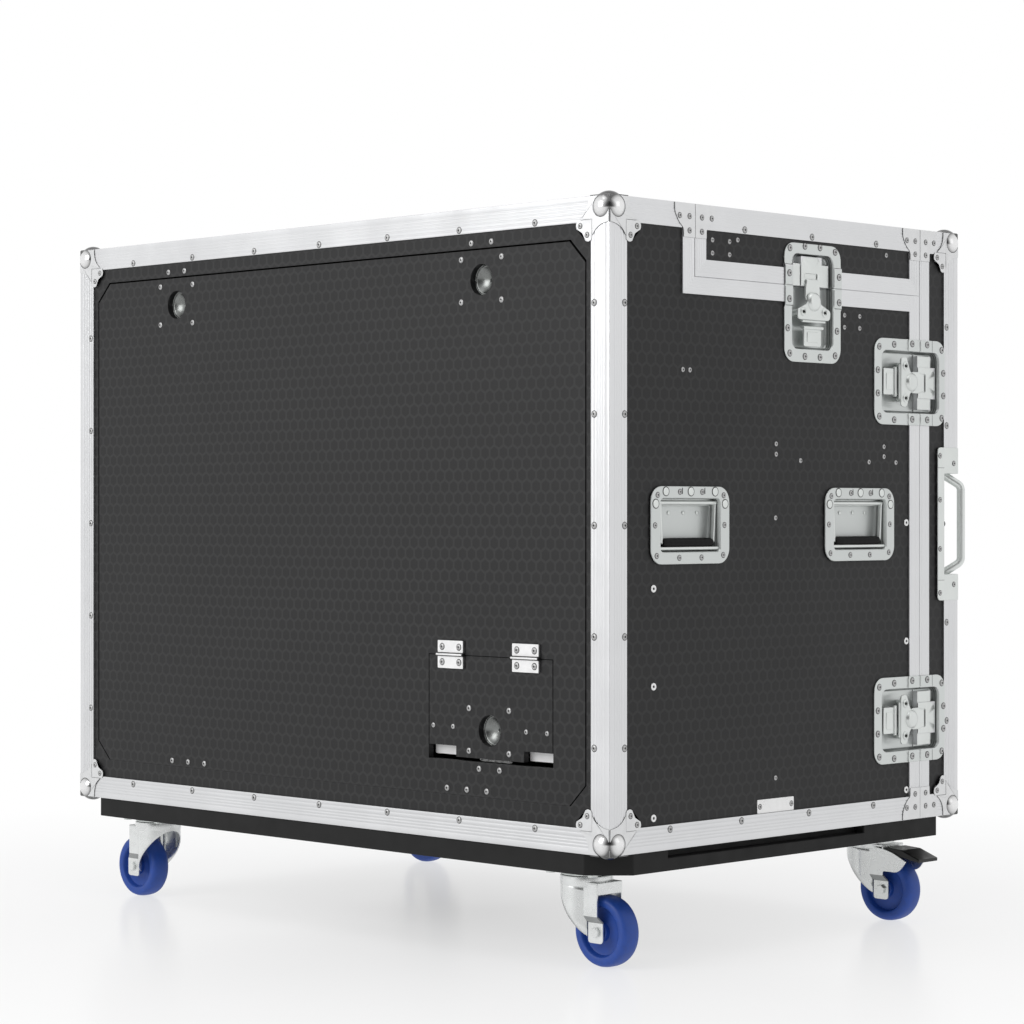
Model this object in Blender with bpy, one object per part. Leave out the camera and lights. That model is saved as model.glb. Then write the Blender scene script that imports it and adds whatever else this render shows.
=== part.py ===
# Rack workstation case.
# A plywood case in aluminium edges on a castor board: a lift-out door with a cable hatch at one end,
# a pull-off cover at the other, a lift-off lid on top, recessed latches, handles and swivel castors.
# Metres, +Z up. The origin is on the floor under the middle of the case, the door faces -Y,
# the cover +Y, and the long sides with the latches face -X and +X.

import bpy
import bmesh
import math
from mathutils import Matrix, Vector
from mathutils.geometry import tessellate_polygon

for old in list(bpy.data.objects):
    bpy.data.objects.remove(old, do_unlink=True)

# Case
CASE_WIDTH = 1.200
CASE_DEPTH = 0.794
CASE_HEIGHT = 0.903
PLY = 0.0095
EDGE_THICK = 0.002
EDGE_FLANGE = 0.035
SEAM_STRIP = 0.0243
SEAM_LIP = 0.0185
SEAM_GAP = 0.001
SEAT = 0.0003
COVER_DEPTH = 0.098
LID_HEIGHT = 0.102
FIXED_TOP_DEPTH = 0.175
BALL_RADIUS = 0.022
BALL_INSET = 0.015

# Castor board
CASTOR_HEIGHT = 0.1355
BOARD_THICK = 0.030
BOARD_INSET = 0.003
BOARD_CORNER = 0.048
STRAP_SLOT_LENGTH = 0.440
STRAP_SLOT_SHIFT = -0.054
STRAP_SLOT_HEIGHT = 0.012
STRAP_SLOT_DEEP = 0.020

# Castors
CASTOR_INSET_X = 0.113
CASTOR_INSET_Y = 0.074
CASTOR_TRAIL = 0.039
WHEEL_RADIUS = 0.050
WHEEL_WIDTH = 0.033
WHEEL_RIM_RADIUS = 0.036
WHEEL_HUB_RADIUS = 0.013
AXLE_RADIUS = 0.006
AXLE_HEAD_RADIUS = 0.0095
AXLE_HEAD = 0.006
FORK_GAP = 0.0025
FORK_SHEET = 0.003
FORK_FRONT = 0.034
FORK_TOP = 0.0145
CASTOR_PLATE_THICK = 0.003
CASTOR_PLATE_LENGTH = 0.105
CASTOR_PLATE_WIDTH = 0.085
CASTOR_PLATE_CORNER = 0.008
RACE_RADIUS = 0.037
RACE_STEP = 0.005
RACE_THICK = 0.0055
WHEEL_WEB_SUNK = 0.008
WHEEL_RIM_LIP = 0.003
WHEEL_EDGE = 0.008
LEG_HALF = 0.017
LEG_CORNER = 0.004
LEG_BELOW_AXLE = 0.016
LEG_SHOULDER = 0.025
LEG_SHOULDER_DROP = 0.011
LEG_NECK = 0.008
SKIRT_LIFT = 0.004
SKIRT_SWEEP = 0.022
SKIRT_FRONT = 0.040
PEDAL_LENGTH = 0.100
PEDAL_WIDTH = 0.048
PEDAL_THICK = 0.009
PEDAL_BACK = 0.012
PEDAL_DROP = 0.005
PEDAL_BEND = 0.030
PEDAL_GAP = 0.0018
PEDAL_CLEAR = 0.0065
PEDAL_PIVOT_OUT = 0.016
PEDAL_PIVOT_UP = 0.110

# Latches
LATCH_WIDTH = 0.131
LATCH_BODY_LENGTH = 0.1115
LATCH_KEEPER_LENGTH = 0.0625
LATCH_CORNER = 0.021
LATCH_SHEET = 0.0015
LATCH_JOGGLE = 0.030
PAN_WIDTH = 0.095
PAN_BODY_LENGTH = 0.0925
PAN_KEEPER_LENGTH = 0.0475
PAN_CORNER = 0.012
PAN_DEEP = 0.013
BOSS_BACK = 0.0225
BOSS_RADIUS = 0.013
BOSS_HIGH = 0.0055
POST_RADIUS = 0.0055
BRIDGE_WIDTH = 0.076
BRIDGE_LOW = 0.0005
BRIDGE_HIGH = 0.0030
BRIDGE_CORNER = 0.006
BRIDGE_LOBE = 0.013
BRIDGE_NECK = 0.008
BRIDGE_FLARE = 0.004
LAP = 0.001
KEEPER_PLATE_WIDTH = 0.048
KEEPER_PLATE_LENGTH = 0.044
KEEPER_EAR_WIDTH = 0.082
KEEPER_EAR_LENGTH = 0.033
KEEPER_EAR_SUNK = 0.0012
KEEPER_SLOT_WIDTH = 0.028
KEEPER_SLOT_LENGTH = 0.0081
KEEPER_SLOT_DEEP = 0.006
CLAW_WIDTH = 0.034
CLAW_REACH = 0.0105
CLAW_CLEAR = 0.0009
CLAW_THICK = 0.003
CLAW_TRAVEL = 0.012
CLAW_TAPER = 0.003
CLAW_SHOULDER = 0.008
CLAW_TAIL = 0.005
WING_WIDTH = 0.040
WING_LENGTH = 0.0275
WING_THICK = 0.003
WING_PIVOT_BACK = 0.0605
WING_PIN_RADIUS = 0.003
WING_AXIS_OUT = -0.0010
WING_EAR = 0.003
WING_EAR_BACK = 0.004
WING_EAR_FRONT = 0.002
COVER_LATCH_DROP = 0.2349
COVER_LATCH_RISE = 0.1535
LID_LATCH_SHIFT = 0.0025

# Recessed handles
HANDLE_WIDTH = 0.166
HANDLE_HEIGHT = 0.109
HANDLE_CORNER = 0.022
HANDLE_SPACING = 0.383
HANDLE_SHIFT = -0.040
HANDLE_PAN_WIDTH = 0.129
HANDLE_PAN_HEIGHT = 0.075
HANDLE_PAN_DEEP = 0.019
HANDLE_PAN_CORNER = 0.003
HANDLE_SHEET = 0.0012
BAIL_WIRE = 0.0035
BAIL_PIN_RADIUS = 0.0028
BAIL_GRIP_RADIUS = 0.0065
BAIL_DROP = 0.056
BAIL_BELOW_TOP = 0.0058
BAIL_OUT = -0.0070
BAIL_BEND = 0.006
BAIL_SIDE_GAP = 0.0024

# Corner handles of the cover
CORNER_HANDLE_HEIGHT = 0.237
CORNER_HANDLE_LAP = 0.0184
CORNER_CUT = 0.035
CORNER_CUT_HEIGHT = 0.156
CORNER_SHEET = 0.0015
CORNER_BACK_HALF = 0.00135
CORNER_BACK_LAP = 0.00105
CORNER_ROOM = 0.00225
CORNER_BAR_RADIUS = 0.0065
CORNER_BAR_PROUD = 0.004
CORNER_BAR_SUNK = 0.004
CORNER_BAR_BEND = 0.026
CORNER_BAR_FOOT = 0.008

# Door
DOOR_SIDE_MARGIN = 0.048
DOOR_TOP_MARGIN = 0.0595
DOOR_BOTTOM_MARGIN = 0.064
DOOR_CORNER = 0.030
DOOR_GAP = 0.0025
DOOR_LATCH_SPREAD = 0.348
DOOR_LATCH_DROP = 0.0425
FINGER_RADIUS = 0.0225
SLIDER_WIDTH = 0.062
SLIDER_HEIGHT = 0.060
SLIDER_THICK = 0.014
SLIDER_CUP_RADIUS = 0.030
SLIDER_RAIL = 0.005
BOLT_WIDTH = 0.022
BOLT_SUNK = 0.002
BOLT_ROOT = 0.027
BOLT_SHORT = 0.001
TONGUE_SPREAD = 0.317
TONGUE_WIDTH = 0.104
TONGUE_HEIGHT = 0.022
TONGUE_REACH = 0.014
TONGUE_THICK = 0.003

# Cable hatch
HATCH_WIDTH = 0.252
HATCH_HEIGHT = 0.1514
HATCH_SIDE_MARGIN = 0.061
HATCH_BOTTOM_MARGIN = 0.0495
HATCH_FOOT_GAP = 0.005
HATCH_SIDE_GAP = 0.0015
HATCH_TOP_GAP = 0.001
HATCH_LATCH_RISE = 0.0455
CABLE_NOTCH_WIDTH = 0.0575
CABLE_NOTCH_HEIGHT = 0.0155
HINGE_LEAF_WIDTH = 0.052
HINGE_LEAF_HEIGHT = 0.0175
HINGE_LEAF_THICK = 0.0015
HINGE_SPREAD = 0.0760
HINGE_PIN_RADIUS = 0.0025
HINGE_PIN_PROUD = 0.0030

# Rack frames
RACK_OPENING = 0.4508
RACK_SETBACK = 0.060
RACK_SHEET = 0.002
RACK_RETURN = 0.030
RACK_TOP_GAP = 0.030
RACK_RAIL_TOP = 0.040
RACK_SIDE_GAP = 0.0063

# Planes worked out from the sizes above
HALF_WIDTH = CASE_WIDTH / 2
HALF_DEPTH = CASE_DEPTH / 2
FOOT = CASTOR_HEIGHT + BOARD_THICK
TOP = FOOT + CASE_HEIGHT
MIDDLE = (FOOT + TOP) / 2
COVER_SEAM = HALF_DEPTH - COVER_DEPTH
LID_SEAM = TOP - LID_HEIGHT
REAR_SEAM = -HALF_DEPTH + FIXED_TOP_DEPTH
HALF_GAP = SEAM_GAP / 2
SKIN = EDGE_THICK + SEAT
WALL = SKIN + PLY
PAST = 0.05
FAR = 0.15
DOOR_FACE = -HALF_DEPTH + SKIN
DOOR_BACK = DOOR_FACE + PLY


def solid(points, faces):
    """A closed mesh of these faces, turned so that they point out."""
    mesh = bpy.data.meshes.new("solid")
    mesh.from_pydata([tuple(point) for point in points], [], [tuple(face) for face in faces])
    shape = bmesh.new()
    shape.from_mesh(mesh)
    bmesh.ops.recalc_face_normals(shape, faces=shape.faces)
    if shape.calc_volume(signed=True) < 0:
        bmesh.ops.reverse_faces(shape, faces=shape.faces)
    shape.to_mesh(mesh)
    shape.free()
    return mesh


def prism(outline, low, high, along, holes=()):
    """An outline with holes in it, pushed from low to high along X, Y or Z."""
    loops = [outline, *holes]
    flat = [point for loop in loops for point in loop]
    count = len(flat)
    caps = tessellate_polygon([[Vector((a, b, 0)) for a, b in loop] for loop in loops])
    if along == "X":
        points = [(level, a, b) for level in (low, high) for a, b in flat]
    elif along == "Y":
        points = [(a, level, b) for level in (low, high) for a, b in flat]
    else:
        points = [(a, b, level) for level in (low, high) for a, b in flat]
    faces = [tuple(cap) for cap in caps]
    faces += [tuple(corner + count for corner in reversed(cap)) for cap in caps]
    start = 0
    for loop in loops:
        for step in range(len(loop)):
            here = start + step
            after = start + (step + 1) % len(loop)
            faces.append((here, after, after + count, here + count))
        start += len(loop)
    return solid(points, faces)


def box(low, high):
    """A block between two opposite corners."""
    outline = rectangle(low[0], low[1], high[0], high[1])
    return prism(outline, low[2], high[2], "Z")


def rectangle(left, low, right, high):
    """The four corners of a rectangle."""
    return [(left, low), (right, low), (right, high), (left, high)]


def rounded(left, low, right, high, radius, steps=3):
    """A rectangle with round corners."""
    points = []
    middles = ((right - radius, high - radius), (left + radius, high - radius),
               (left + radius, low + radius), (right - radius, low + radius))
    for corner, (a, b) in enumerate(middles):
        for step in range(steps + 1):
            turn = math.pi / 2 * (corner + step / steps)
            points.append((a + radius * math.cos(turn), b + radius * math.sin(turn)))
    return points


def circle(a, b, radius, sides):
    """The points of a circle about (a, b)."""
    turns = [2 * math.pi * (side + 0.5) / sides for side in range(sides)]
    return [(a + radius * math.cos(turn), b + radius * math.sin(turn)) for turn in turns]


def ring(profile, sides, centre):
    """A closed profile of (radius, height), turned about an axis along Y through centre."""
    points = []
    for side in range(sides):
        turn = 2 * math.pi * side / sides
        for radius, height in profile:
            points.append((centre[0] + radius * math.cos(turn), centre[1] + height,
                           centre[2] + radius * math.sin(turn)))
    size = len(profile)
    faces = []
    for side in range(sides):
        for step in range(size):
            here = side * size + step
            after = side * size + (step + 1) % size
            turned = (side + 1) % sides * size
            faces.append((here, after, turned + (step + 1) % size, turned + step))
    return solid(points, faces)


def rod(path, radius, sides, normal, closed=False):
    """A round bar along a flat path; normal is square to the plane of the path."""
    path = [Vector(point) for point in path]
    normal = Vector(normal).normalized()
    count = len(path)
    points = []
    for step, point in enumerate(path):
        before = path[step - 1] if closed or step > 0 else point
        after = path[(step + 1) % count] if closed or step < count - 1 else point
        come = (point - before).normalized() if before != point else (after - point).normalized()
        leave = (after - point).normalized() if after != point else come
        tangent = (come + leave).normalized()
        stretch = 1 / max(tangent.dot(leave), 0.3)
        across = tangent.cross(normal).normalized() * stretch
        for side in range(sides):
            turn = 2 * math.pi * (side + 0.5) / sides
            points.append(point + radius * (across * math.cos(turn) + normal * math.sin(turn)))
    faces = []
    for step in range(count if closed else count - 1):
        here = step * sides
        after = (step + 1) % count * sides
        for side in range(sides):
            beside = (side + 1) % sides
            faces.append((here + side, here + beside, after + beside, after + side))
    if not closed:
        faces.append(tuple(range(sides)))
        faces.append(tuple(range((count - 1) * sides, count * sides)))
    return solid(points, faces)


def ball(centre, radius, sides, rings):
    """A round ball."""
    shape = bmesh.new()
    place = Matrix.Translation(Vector(centre))
    bmesh.ops.create_uvsphere(shape, u_segments=sides, v_segments=rings, radius=radius, matrix=place)
    mesh = bpy.data.meshes.new("ball")
    shape.to_mesh(mesh)
    shape.free()
    return mesh


def combine(first, second, operation):
    """The first mesh joined with the second, cut by it, or kept only where both are."""
    kept = bpy.data.objects.new("kept", first)
    tool = bpy.data.objects.new("tool", second)
    bpy.context.scene.collection.objects.link(kept)
    bpy.context.scene.collection.objects.link(tool)
    step = kept.modifiers.new("combine", "BOOLEAN")
    step.object = tool
    step.operation = operation
    bpy.context.view_layer.update()
    graph = bpy.context.evaluated_depsgraph_get()
    result = bpy.data.meshes.new_from_object(kept.evaluated_get(graph))
    bpy.data.objects.remove(kept, do_unlink=True)
    bpy.data.objects.remove(tool, do_unlink=True)
    return result


def joined(first, *others):
    """One solid of several that overlap."""
    for other in others:
        first = combine(first, other, "UNION")
    return first


def cut(first, *others):
    """A solid with others taken out of it."""
    for other in others:
        first = combine(first, other, "DIFFERENCE")
    return first


def shared(first, second):
    """What two solids have in common."""
    return combine(first, second, "INTERSECT")


def moved(mesh, place):
    """A copy of a solid put somewhere, turned right way out if the place mirrors it."""
    copy = mesh.copy()
    copy.transform(place)
    if place.determinant() < 0:
        copy.flip_normals()
    return copy


def frame(across, along, out, origin):
    """The place whose own axes run across, along and out, with its origin there."""
    columns = (Vector(across), Vector(along), Vector(out), Vector(origin))
    rows = [[column[row] for column in columns] for row in range(3)]
    return Matrix([*rows, [0, 0, 0, 1]])


def finish(name, color, roughness, metallic):
    """The material of a piece."""
    material = bpy.data.materials.new(name)
    material.use_nodes = True
    shader = material.node_tree.nodes["Principled BSDF"]
    shader.inputs["Base Color"].default_value = (*color, 1)
    shader.inputs["Roughness"].default_value = roughness
    shader.inputs["Metallic"].default_value = metallic
    return material


BLACK_PLY = ((0.035, 0.035, 0.035), 0.55, 0.0)
BLACK_PAINT = ((0.016, 0.016, 0.016), 0.6, 0.0)
ALUMINIUM = ((0.80, 0.80, 0.80), 0.35, 0.9)
ZINC = ((0.62, 0.65, 0.64), 0.35, 0.9)
BLUE_RUBBER = ((0.02, 0.07, 0.42), 0.5, 0.0)
BLACK_STEEL = ((0.02, 0.02, 0.02), 0.45, 0.5)


def node(name, mesh, look, origin=(0, 0, 0), holder=None):
    """A named sub-part with its origin on its joint, carried by an empty if it has one."""
    mesh = moved(mesh, Matrix.Translation(-Vector(origin)))
    mesh.name = name
    mesh.materials.clear()
    mesh.materials.append(finish(name + "_finish", *look))
    mesh.shade_smooth()
    mesh.set_sharp_from_angle(angle=math.radians(35))
    part = bpy.data.objects.new(name, mesh)
    bpy.context.scene.collection.objects.link(part)
    part.location = Vector(origin)
    if holder:
        part.parent = holder
        part.location = Vector(origin) - holder.location
    return part


def pivot(name, place):
    """An empty that carries the pieces that turn or slide together."""
    empty = bpy.data.objects.new(name, None)
    empty.location = Vector(place)
    empty.empty_display_size = 0.03
    bpy.context.scene.collection.objects.link(empty)
    return empty


SIDES = (("left", -1), ("right", 1))


# Outlines of the three sections of the case, seen from the side as (depth, height)

def case_profile(outer, seam):
    """The body: outer faces and seam faces drawn in by their own amounts."""
    back = -HALF_DEPTH + outer
    low = FOOT + outer
    front = COVER_SEAM - HALF_GAP - seam
    step = LID_SEAM - HALF_GAP - seam
    rear = REAR_SEAM - HALF_GAP - seam
    high = TOP - outer
    return [(back, low), (front, low), (front, step), (rear, step), (rear, high), (back, high)]


def lid_profile(outer, seam):
    """The lid, open below and at both ends."""
    return rectangle(REAR_SEAM + HALF_GAP + seam, LID_SEAM + HALF_GAP + seam,
                     COVER_SEAM - HALF_GAP - seam, TOP - outer)


def cover_profile(outer, seam):
    """The cover, open towards the body."""
    return rectangle(COVER_SEAM + HALF_GAP + seam, FOOT + outer, HALF_DEPTH - outer, TOP - outer)


def across_case(profile, inset):
    """A side outline pushed from one long side of the case to the other."""
    return prism(profile, -HALF_WIDTH + inset, HALF_WIDTH - inset, "X")


MOUTH_SIDE = HALF_WIDTH - WALL
COVER_MOUTH = box((-MOUTH_SIDE, COVER_SEAM - PAST, FOOT + WALL),
                  (MOUTH_SIDE, HALF_DEPTH - WALL, TOP - WALL))
LID_MOUTH = box((-MOUTH_SIDE, REAR_SEAM - PAST, LID_SEAM - PAST),
                (MOUTH_SIDE, COVER_SEAM + PAST, TOP - WALL))
WINDOW_SIDE = HALF_WIDTH - EDGE_FLANGE


def window(low, high):
    """The part of an outer face that the edge extrusions leave open."""
    return box((-WINDOW_SIDE, *low), (WINDOW_SIDE, *high))


def balls(depth):
    """The four ball corners at one end of the case."""
    shapes = []
    for side in (-1, 1):
        for high in (FOOT + BALL_INSET, TOP - BALL_INSET):
            centre = (side * (HALF_WIDTH - BALL_INSET), depth, high)
            shapes.append(ball(centre, BALL_RADIUS, 16, 8))
    return shapes


# Latch dishes, in their own frame: across, along towards the keeper, out of the face

def latch_plan(grow):
    """The outline of the sunk pan."""
    return rounded(-PAN_WIDTH / 2 - grow, -PAN_BODY_LENGTH - grow,
                   PAN_WIDTH / 2 + grow, PAN_KEEPER_LENGTH + grow, PAN_CORNER + grow)


def pan_hole(grow):
    """What a panel or an extrusion loses to the pan."""
    return prism(latch_plan(grow), -PAN_DEEP - grow, PAST, "Z")


def latch_dish(keeper_joggle, seat):
    """Flange and pan of a whole dish; the flange steps up over the seam strips."""
    wide = LATCH_WIDTH / 2
    low = -SKIN + SEAT
    high = SEAT + LATCH_SHEET
    outline = rounded(-wide, -LATCH_BODY_LENGTH, wide, LATCH_KEEPER_LENGTH, LATCH_CORNER)
    dish = prism(outline, low, high, "Z")
    pan = prism(latch_plan(LATCH_SHEET), -PAN_DEEP - LATCH_SHEET, low + LATCH_SHEET / 2, "Z")
    dish = joined(dish, pan)
    step = low + LATCH_SHEET
    dish = cut(dish, box((-FAR, -FAR, step), (FAR, -LATCH_JOGGLE, PAST)))
    if keeper_joggle:
        dish = cut(dish, box((-FAR, LATCH_JOGGLE, step), (FAR, FAR, PAST)))
    strip = SEAM_STRIP + HALF_GAP + SEAT
    beside = PAN_WIDTH / 2 + LATCH_SHEET + SEAT
    for side in (-1, 1):
        ends = sorted((side * beside, side * FAR))
        dish = cut(dish, box((ends[0], -strip, -PAST), (ends[1], strip, seat)))
    return cut(dish, prism(latch_plan(0), -PAN_DEEP, PAST, "Z"))


def latch_body():
    """The operating half: dish, pivot post and boss, and the bridge over the claw."""
    dish = latch_dish(False, SEAT)
    dish = cut(dish, box((-FAR, -HALF_GAP, -PAST), (FAR, FAR, PAST)))
    floor = -PAN_DEEP - LATCH_SHEET / 2
    half = BRIDGE_WIDTH / 2
    back = -WING_PIVOT_BACK + WING_PIN_RADIUS + SEAT * 2
    neck = CLAW_WIDTH / 2
    waist = neck + WING_EAR
    corner = BRIDGE_CORNER
    right = [(half - corner, back), (half, back + corner), (half, back + BRIDGE_LOBE),
             (waist, -BOSS_BACK - BRIDGE_FLARE), (neck, -BOSS_BACK + BRIDGE_NECK)]
    bridge = right + [(-a, b) for a, b in reversed(right)]
    dish = joined(dish, prism(circle(0, -BOSS_BACK, POST_RADIUS, 10), floor, BRIDGE_LOW + LAP, "Z"))
    dish = joined(dish, prism(bridge, BRIDGE_LOW, BRIDGE_HIGH, "Z"))
    dish = joined(dish, prism(circle(0, -BOSS_BACK, BOSS_RADIUS, 16), BRIDGE_LOW + LAP, BOSS_HIGH, "Z"))
    inner = WING_WIDTH / 2 + SEAT
    for side in (-1, 1):
        ends = sorted((side * inner, side * (inner + WING_EAR)))
        ear = box((ends[0], -WING_PIVOT_BACK - WING_EAR_BACK, floor),
                  (ends[1], back + WING_EAR_FRONT, BRIDGE_LOW + LAP * 1.5))
        dish = joined(dish, ear)
    return dish


def latch_keeper(joggle):
    """The other half of the dish, with the slotted keeper plate that the claw reaches over."""
    dish = latch_dish(joggle, -SEAT)
    floor = -PAN_DEEP - LATCH_SHEET / 2
    high = -CLAW_THICK - SEAT
    half = KEEPER_PLATE_WIDTH / 2
    wide = KEEPER_EAR_WIDTH / 2
    gap = KEEPER_SLOT_WIDTH / 2
    start = CLAW_REACH + CLAW_CLEAR
    plate = box((-half, -PAST, floor), (half, KEEPER_PLATE_LENGTH, high))
    ears = box((-wide, -PAST, floor), (wide, KEEPER_EAR_LENGTH, high - KEEPER_EAR_SUNK))
    slot = box((-gap, start, high - KEEPER_SLOT_DEEP), (gap, start + KEEPER_SLOT_LENGTH, PAST))
    dish = cut(joined(dish, plate, ears), slot)
    return cut(dish, box((-FAR, -FAR, -PAST), (FAR, HALF_GAP, PAST)))


def latch_claw():
    """The flat hook, slotted round the pivot post."""
    half = CLAW_WIDTH / 2
    nose = half - CLAW_TAPER
    shoulder = CLAW_REACH - CLAW_SHOULDER
    tail = -BOSS_BACK - POST_RADIUS - CLAW_TRAVEL - CLAW_TAIL
    outline = [(-half, tail), (half, tail), (half, shoulder), (nose, CLAW_REACH), (-nose, CLAW_REACH),
               (-half, shoulder)]
    room = POST_RADIUS + SEAT * 2
    slot = rectangle(-room, -BOSS_BACK - room - CLAW_TRAVEL, room, -BOSS_BACK + room)
    return prism(outline, -CLAW_THICK, 0, "Z", [slot])


def latch_wing():
    """The folding grip with its pivot barrel."""
    half = WING_WIDTH / 2
    back = -WING_PIVOT_BACK
    low = WING_AXIS_OUT - WING_THICK / 2
    plate = box((-half, back - WING_LENGTH, low), (half, back, low + WING_THICK))
    barrel = rod([(-half, back, WING_AXIS_OUT), (half, back, WING_AXIS_OUT)],
                 WING_PIN_RADIUS, 12, (0, 0, 1))
    return joined(plate, barrel)


def latch_places():
    """Each latch: its name, its side and the frame of its dish."""
    lid_middle = (REAR_SEAM + COVER_SEAM) / 2 + LID_LATCH_SHIFT
    found = []
    for word, side in SIDES:
        out = (side, 0, 0)
        spot = (side * HALF_WIDTH, lid_middle, LID_SEAM)
        found.append(("lid_latch", word, side, frame((0, 1, 0), (0, 0, 1), out, spot)))
        for name, level in (("upper_cover_latch", TOP - COVER_LATCH_DROP),
                            ("lower_cover_latch", FOOT + COVER_LATCH_RISE)):
            spot = (side * HALF_WIDTH, COVER_SEAM, level)
            found.append((name, word, side, frame((0, 0, 1), (0, 1, 0), out, spot)))
    return found


LATCHES = latch_places()
LID_LATCHES = [place for name, word, side, place in LATCHES if name == "lid_latch"]
COVER_LATCHES = [place for name, word, side, place in LATCHES if name != "lid_latch"]


# Recessed handles, in their own frame: across, up, out of the face

def handle_plan(grow):
    """The outline of the handle's sunk pan."""
    wide = HANDLE_PAN_WIDTH / 2 + grow
    high = HANDLE_PAN_HEIGHT / 2 + grow
    return rounded(-wide, -high, wide, high, HANDLE_PAN_CORNER + grow)


def handle_dish():
    """The flange and the sunk pan."""
    wide = HANDLE_WIDTH / 2
    high = HANDLE_HEIGHT / 2
    low = -SKIN + SEAT
    flange = prism(rounded(-wide, -high, wide, high, HANDLE_CORNER), low, low + LATCH_SHEET, "Z")
    pan = prism(handle_plan(HANDLE_SHEET), -HANDLE_PAN_DEEP - HANDLE_SHEET, low + LATCH_SHEET / 2, "Z")
    return cut(joined(flange, pan), prism(handle_plan(0), -HANDLE_PAN_DEEP, PAST, "Z"))


BAIL_PIVOT_UP = HANDLE_PAN_HEIGHT / 2 - BAIL_BELOW_TOP


def handle_bail():
    """A closed wire loop whose top bar turns in the pan, with a rubber grip on the lower bar."""
    wide = HANDLE_PAN_WIDTH / 2 - BAIL_WIRE - BAIL_SIDE_GAP
    low = BAIL_PIVOT_UP - BAIL_DROP
    out = BAIL_OUT
    bend = BAIL_BEND
    loop = [(-wide, BAIL_PIVOT_UP, out), (wide, BAIL_PIVOT_UP, out), (wide, low + bend, out),
            (wide - bend, low, out), (-wide + bend, low, out), (-wide, low + bend, out)]
    wire = rod(loop, BAIL_WIRE, 8, (0, 0, 1), closed=True)
    reach = HANDLE_PAN_WIDTH / 2 - SEAT
    pin = rod([(-reach, BAIL_PIVOT_UP, out), (reach, BAIL_PIVOT_UP, out)], BAIL_PIN_RADIUS, 8, (0, 0, 1))
    grip_end = wide - bend - LAP
    grip = rod([(-grip_end, low, out), (grip_end, low, out)], BAIL_GRIP_RADIUS, 12, (0, 0, 1))
    return joined(wire, pin, grip)


def handle_places():
    """Each handle: its name and the frame of its pan."""
    found = []
    for word, side in SIDES:
        for name, depth in (("rear_handle", HANDLE_SHIFT - HANDLE_SPACING / 2),
                            ("front_handle", HANDLE_SHIFT + HANDLE_SPACING / 2)):
            spot = (side * HALF_WIDTH, depth, MIDDLE)
            found.append((f"{name}_{word}", side, frame((0, 1, 0), (0, 0, 1), (side, 0, 0), spot)))
    return found


HANDLES = handle_places()


# Corner handles: everything outside a slanting plane across the cover's upright edges

def corner_cut(side, grow, height):
    """What the upright edge of the cover loses behind a corner handle."""
    reach = CORNER_CUT + grow
    outline = [(side * (HALF_WIDTH + PAST), HALF_DEPTH - reach - PAST),
               (side * (HALF_WIDTH + PAST), HALF_DEPTH + PAST),
               (side * (HALF_WIDTH - reach - PAST), HALF_DEPTH + PAST)]
    low = MIDDLE - height / 2
    return prism(outline, low, low + height, "Z")


def corner_handle(side):
    """An angle plate round the edge, a slanting back plate in the cut, and a bar across it."""
    low = MIDDLE - CORNER_HANDLE_HEIGHT / 2
    high = MIDDLE + CORNER_HANDLE_HEIGHT / 2
    inner_x = HALF_WIDTH + SEAT
    inner_y = HALF_DEPTH + SEAT
    outer_x = inner_x + CORNER_SHEET
    outer_y = inner_y + CORNER_SHEET
    lap_x = HALF_WIDTH - CORNER_CUT - CORNER_HANDLE_LAP
    lap_y = HALF_DEPTH - CORNER_CUT - CORNER_HANDLE_LAP
    angle = [(side * a, b) for a, b in
             ((lap_x, inner_y), (inner_x, inner_y), (inner_x, lap_y), (outer_x, lap_y), (outer_x, outer_y),
              (lap_x, outer_y))]
    plate = cut(prism(angle, low, high, "Z"), corner_cut(side, 0, CORNER_CUT_HEIGHT))
    slant = CORNER_BACK_HALF
    back = [(side * a, b) for a, b in
            ((HALF_WIDTH - CORNER_CUT - slant, outer_y), (outer_x, HALF_DEPTH - CORNER_CUT - slant),
             (outer_x, HALF_DEPTH - CORNER_CUT + slant), (HALF_WIDTH - CORNER_CUT + slant, outer_y))]
    tall = CORNER_CUT_HEIGHT / 2 + CORNER_BACK_LAP
    plate = joined(plate, prism(back, MIDDLE - tall, MIDDLE + tall, "Z"))
    for end in (-1, 1):
        edge = MIDDLE + end * CORNER_CUT_HEIGHT / 2
        shelf = [(side * a, b) for a, b in
                 ((HALF_WIDTH - CORNER_CUT, outer_y), (outer_x, HALF_DEPTH - CORNER_CUT), (outer_x, outer_y))]
        ends = sorted((edge + end * SEAT, edge + end * (SEAT + CORNER_SHEET)))
        plate = joined(plate, prism(shelf, *ends, "Z"))
    proud = CORNER_BAR_PROUD
    foot = CORNER_CUT_HEIGHT / 2 + CORNER_BAR_FOOT
    bend = foot - CORNER_BAR_BEND
    path = []
    for level, out in ((foot, -CORNER_BAR_SUNK), (bend, proud), (-bend, proud), (-foot, -CORNER_BAR_SUNK)):
        path.append((side * (HALF_WIDTH + out), HALF_DEPTH + out, MIDDLE + level))
    bar = rod(path, CORNER_BAR_RADIUS, 10, (1, -side, 0))
    inside = box((-HALF_WIDTH - SEAT, 0, 0), (HALF_WIDTH + SEAT, HALF_DEPTH + SEAT, TOP))
    inside = cut(inside, corner_cut(side, -SEAT, CORNER_CUT_HEIGHT))
    return cut(joined(plate, bar), inside)


# Castors

def castor_place(side, depth_side):
    """The frame of a castor: trail, width, up, with its origin on the floor under the swivel."""
    spot = (side * (HALF_WIDTH - CASTOR_INSET_X), depth_side * (HALF_DEPTH - CASTOR_INSET_Y), 0)
    return frame((side, 0, 0), (0, 1, 0), (0, 0, 1), spot)


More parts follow.
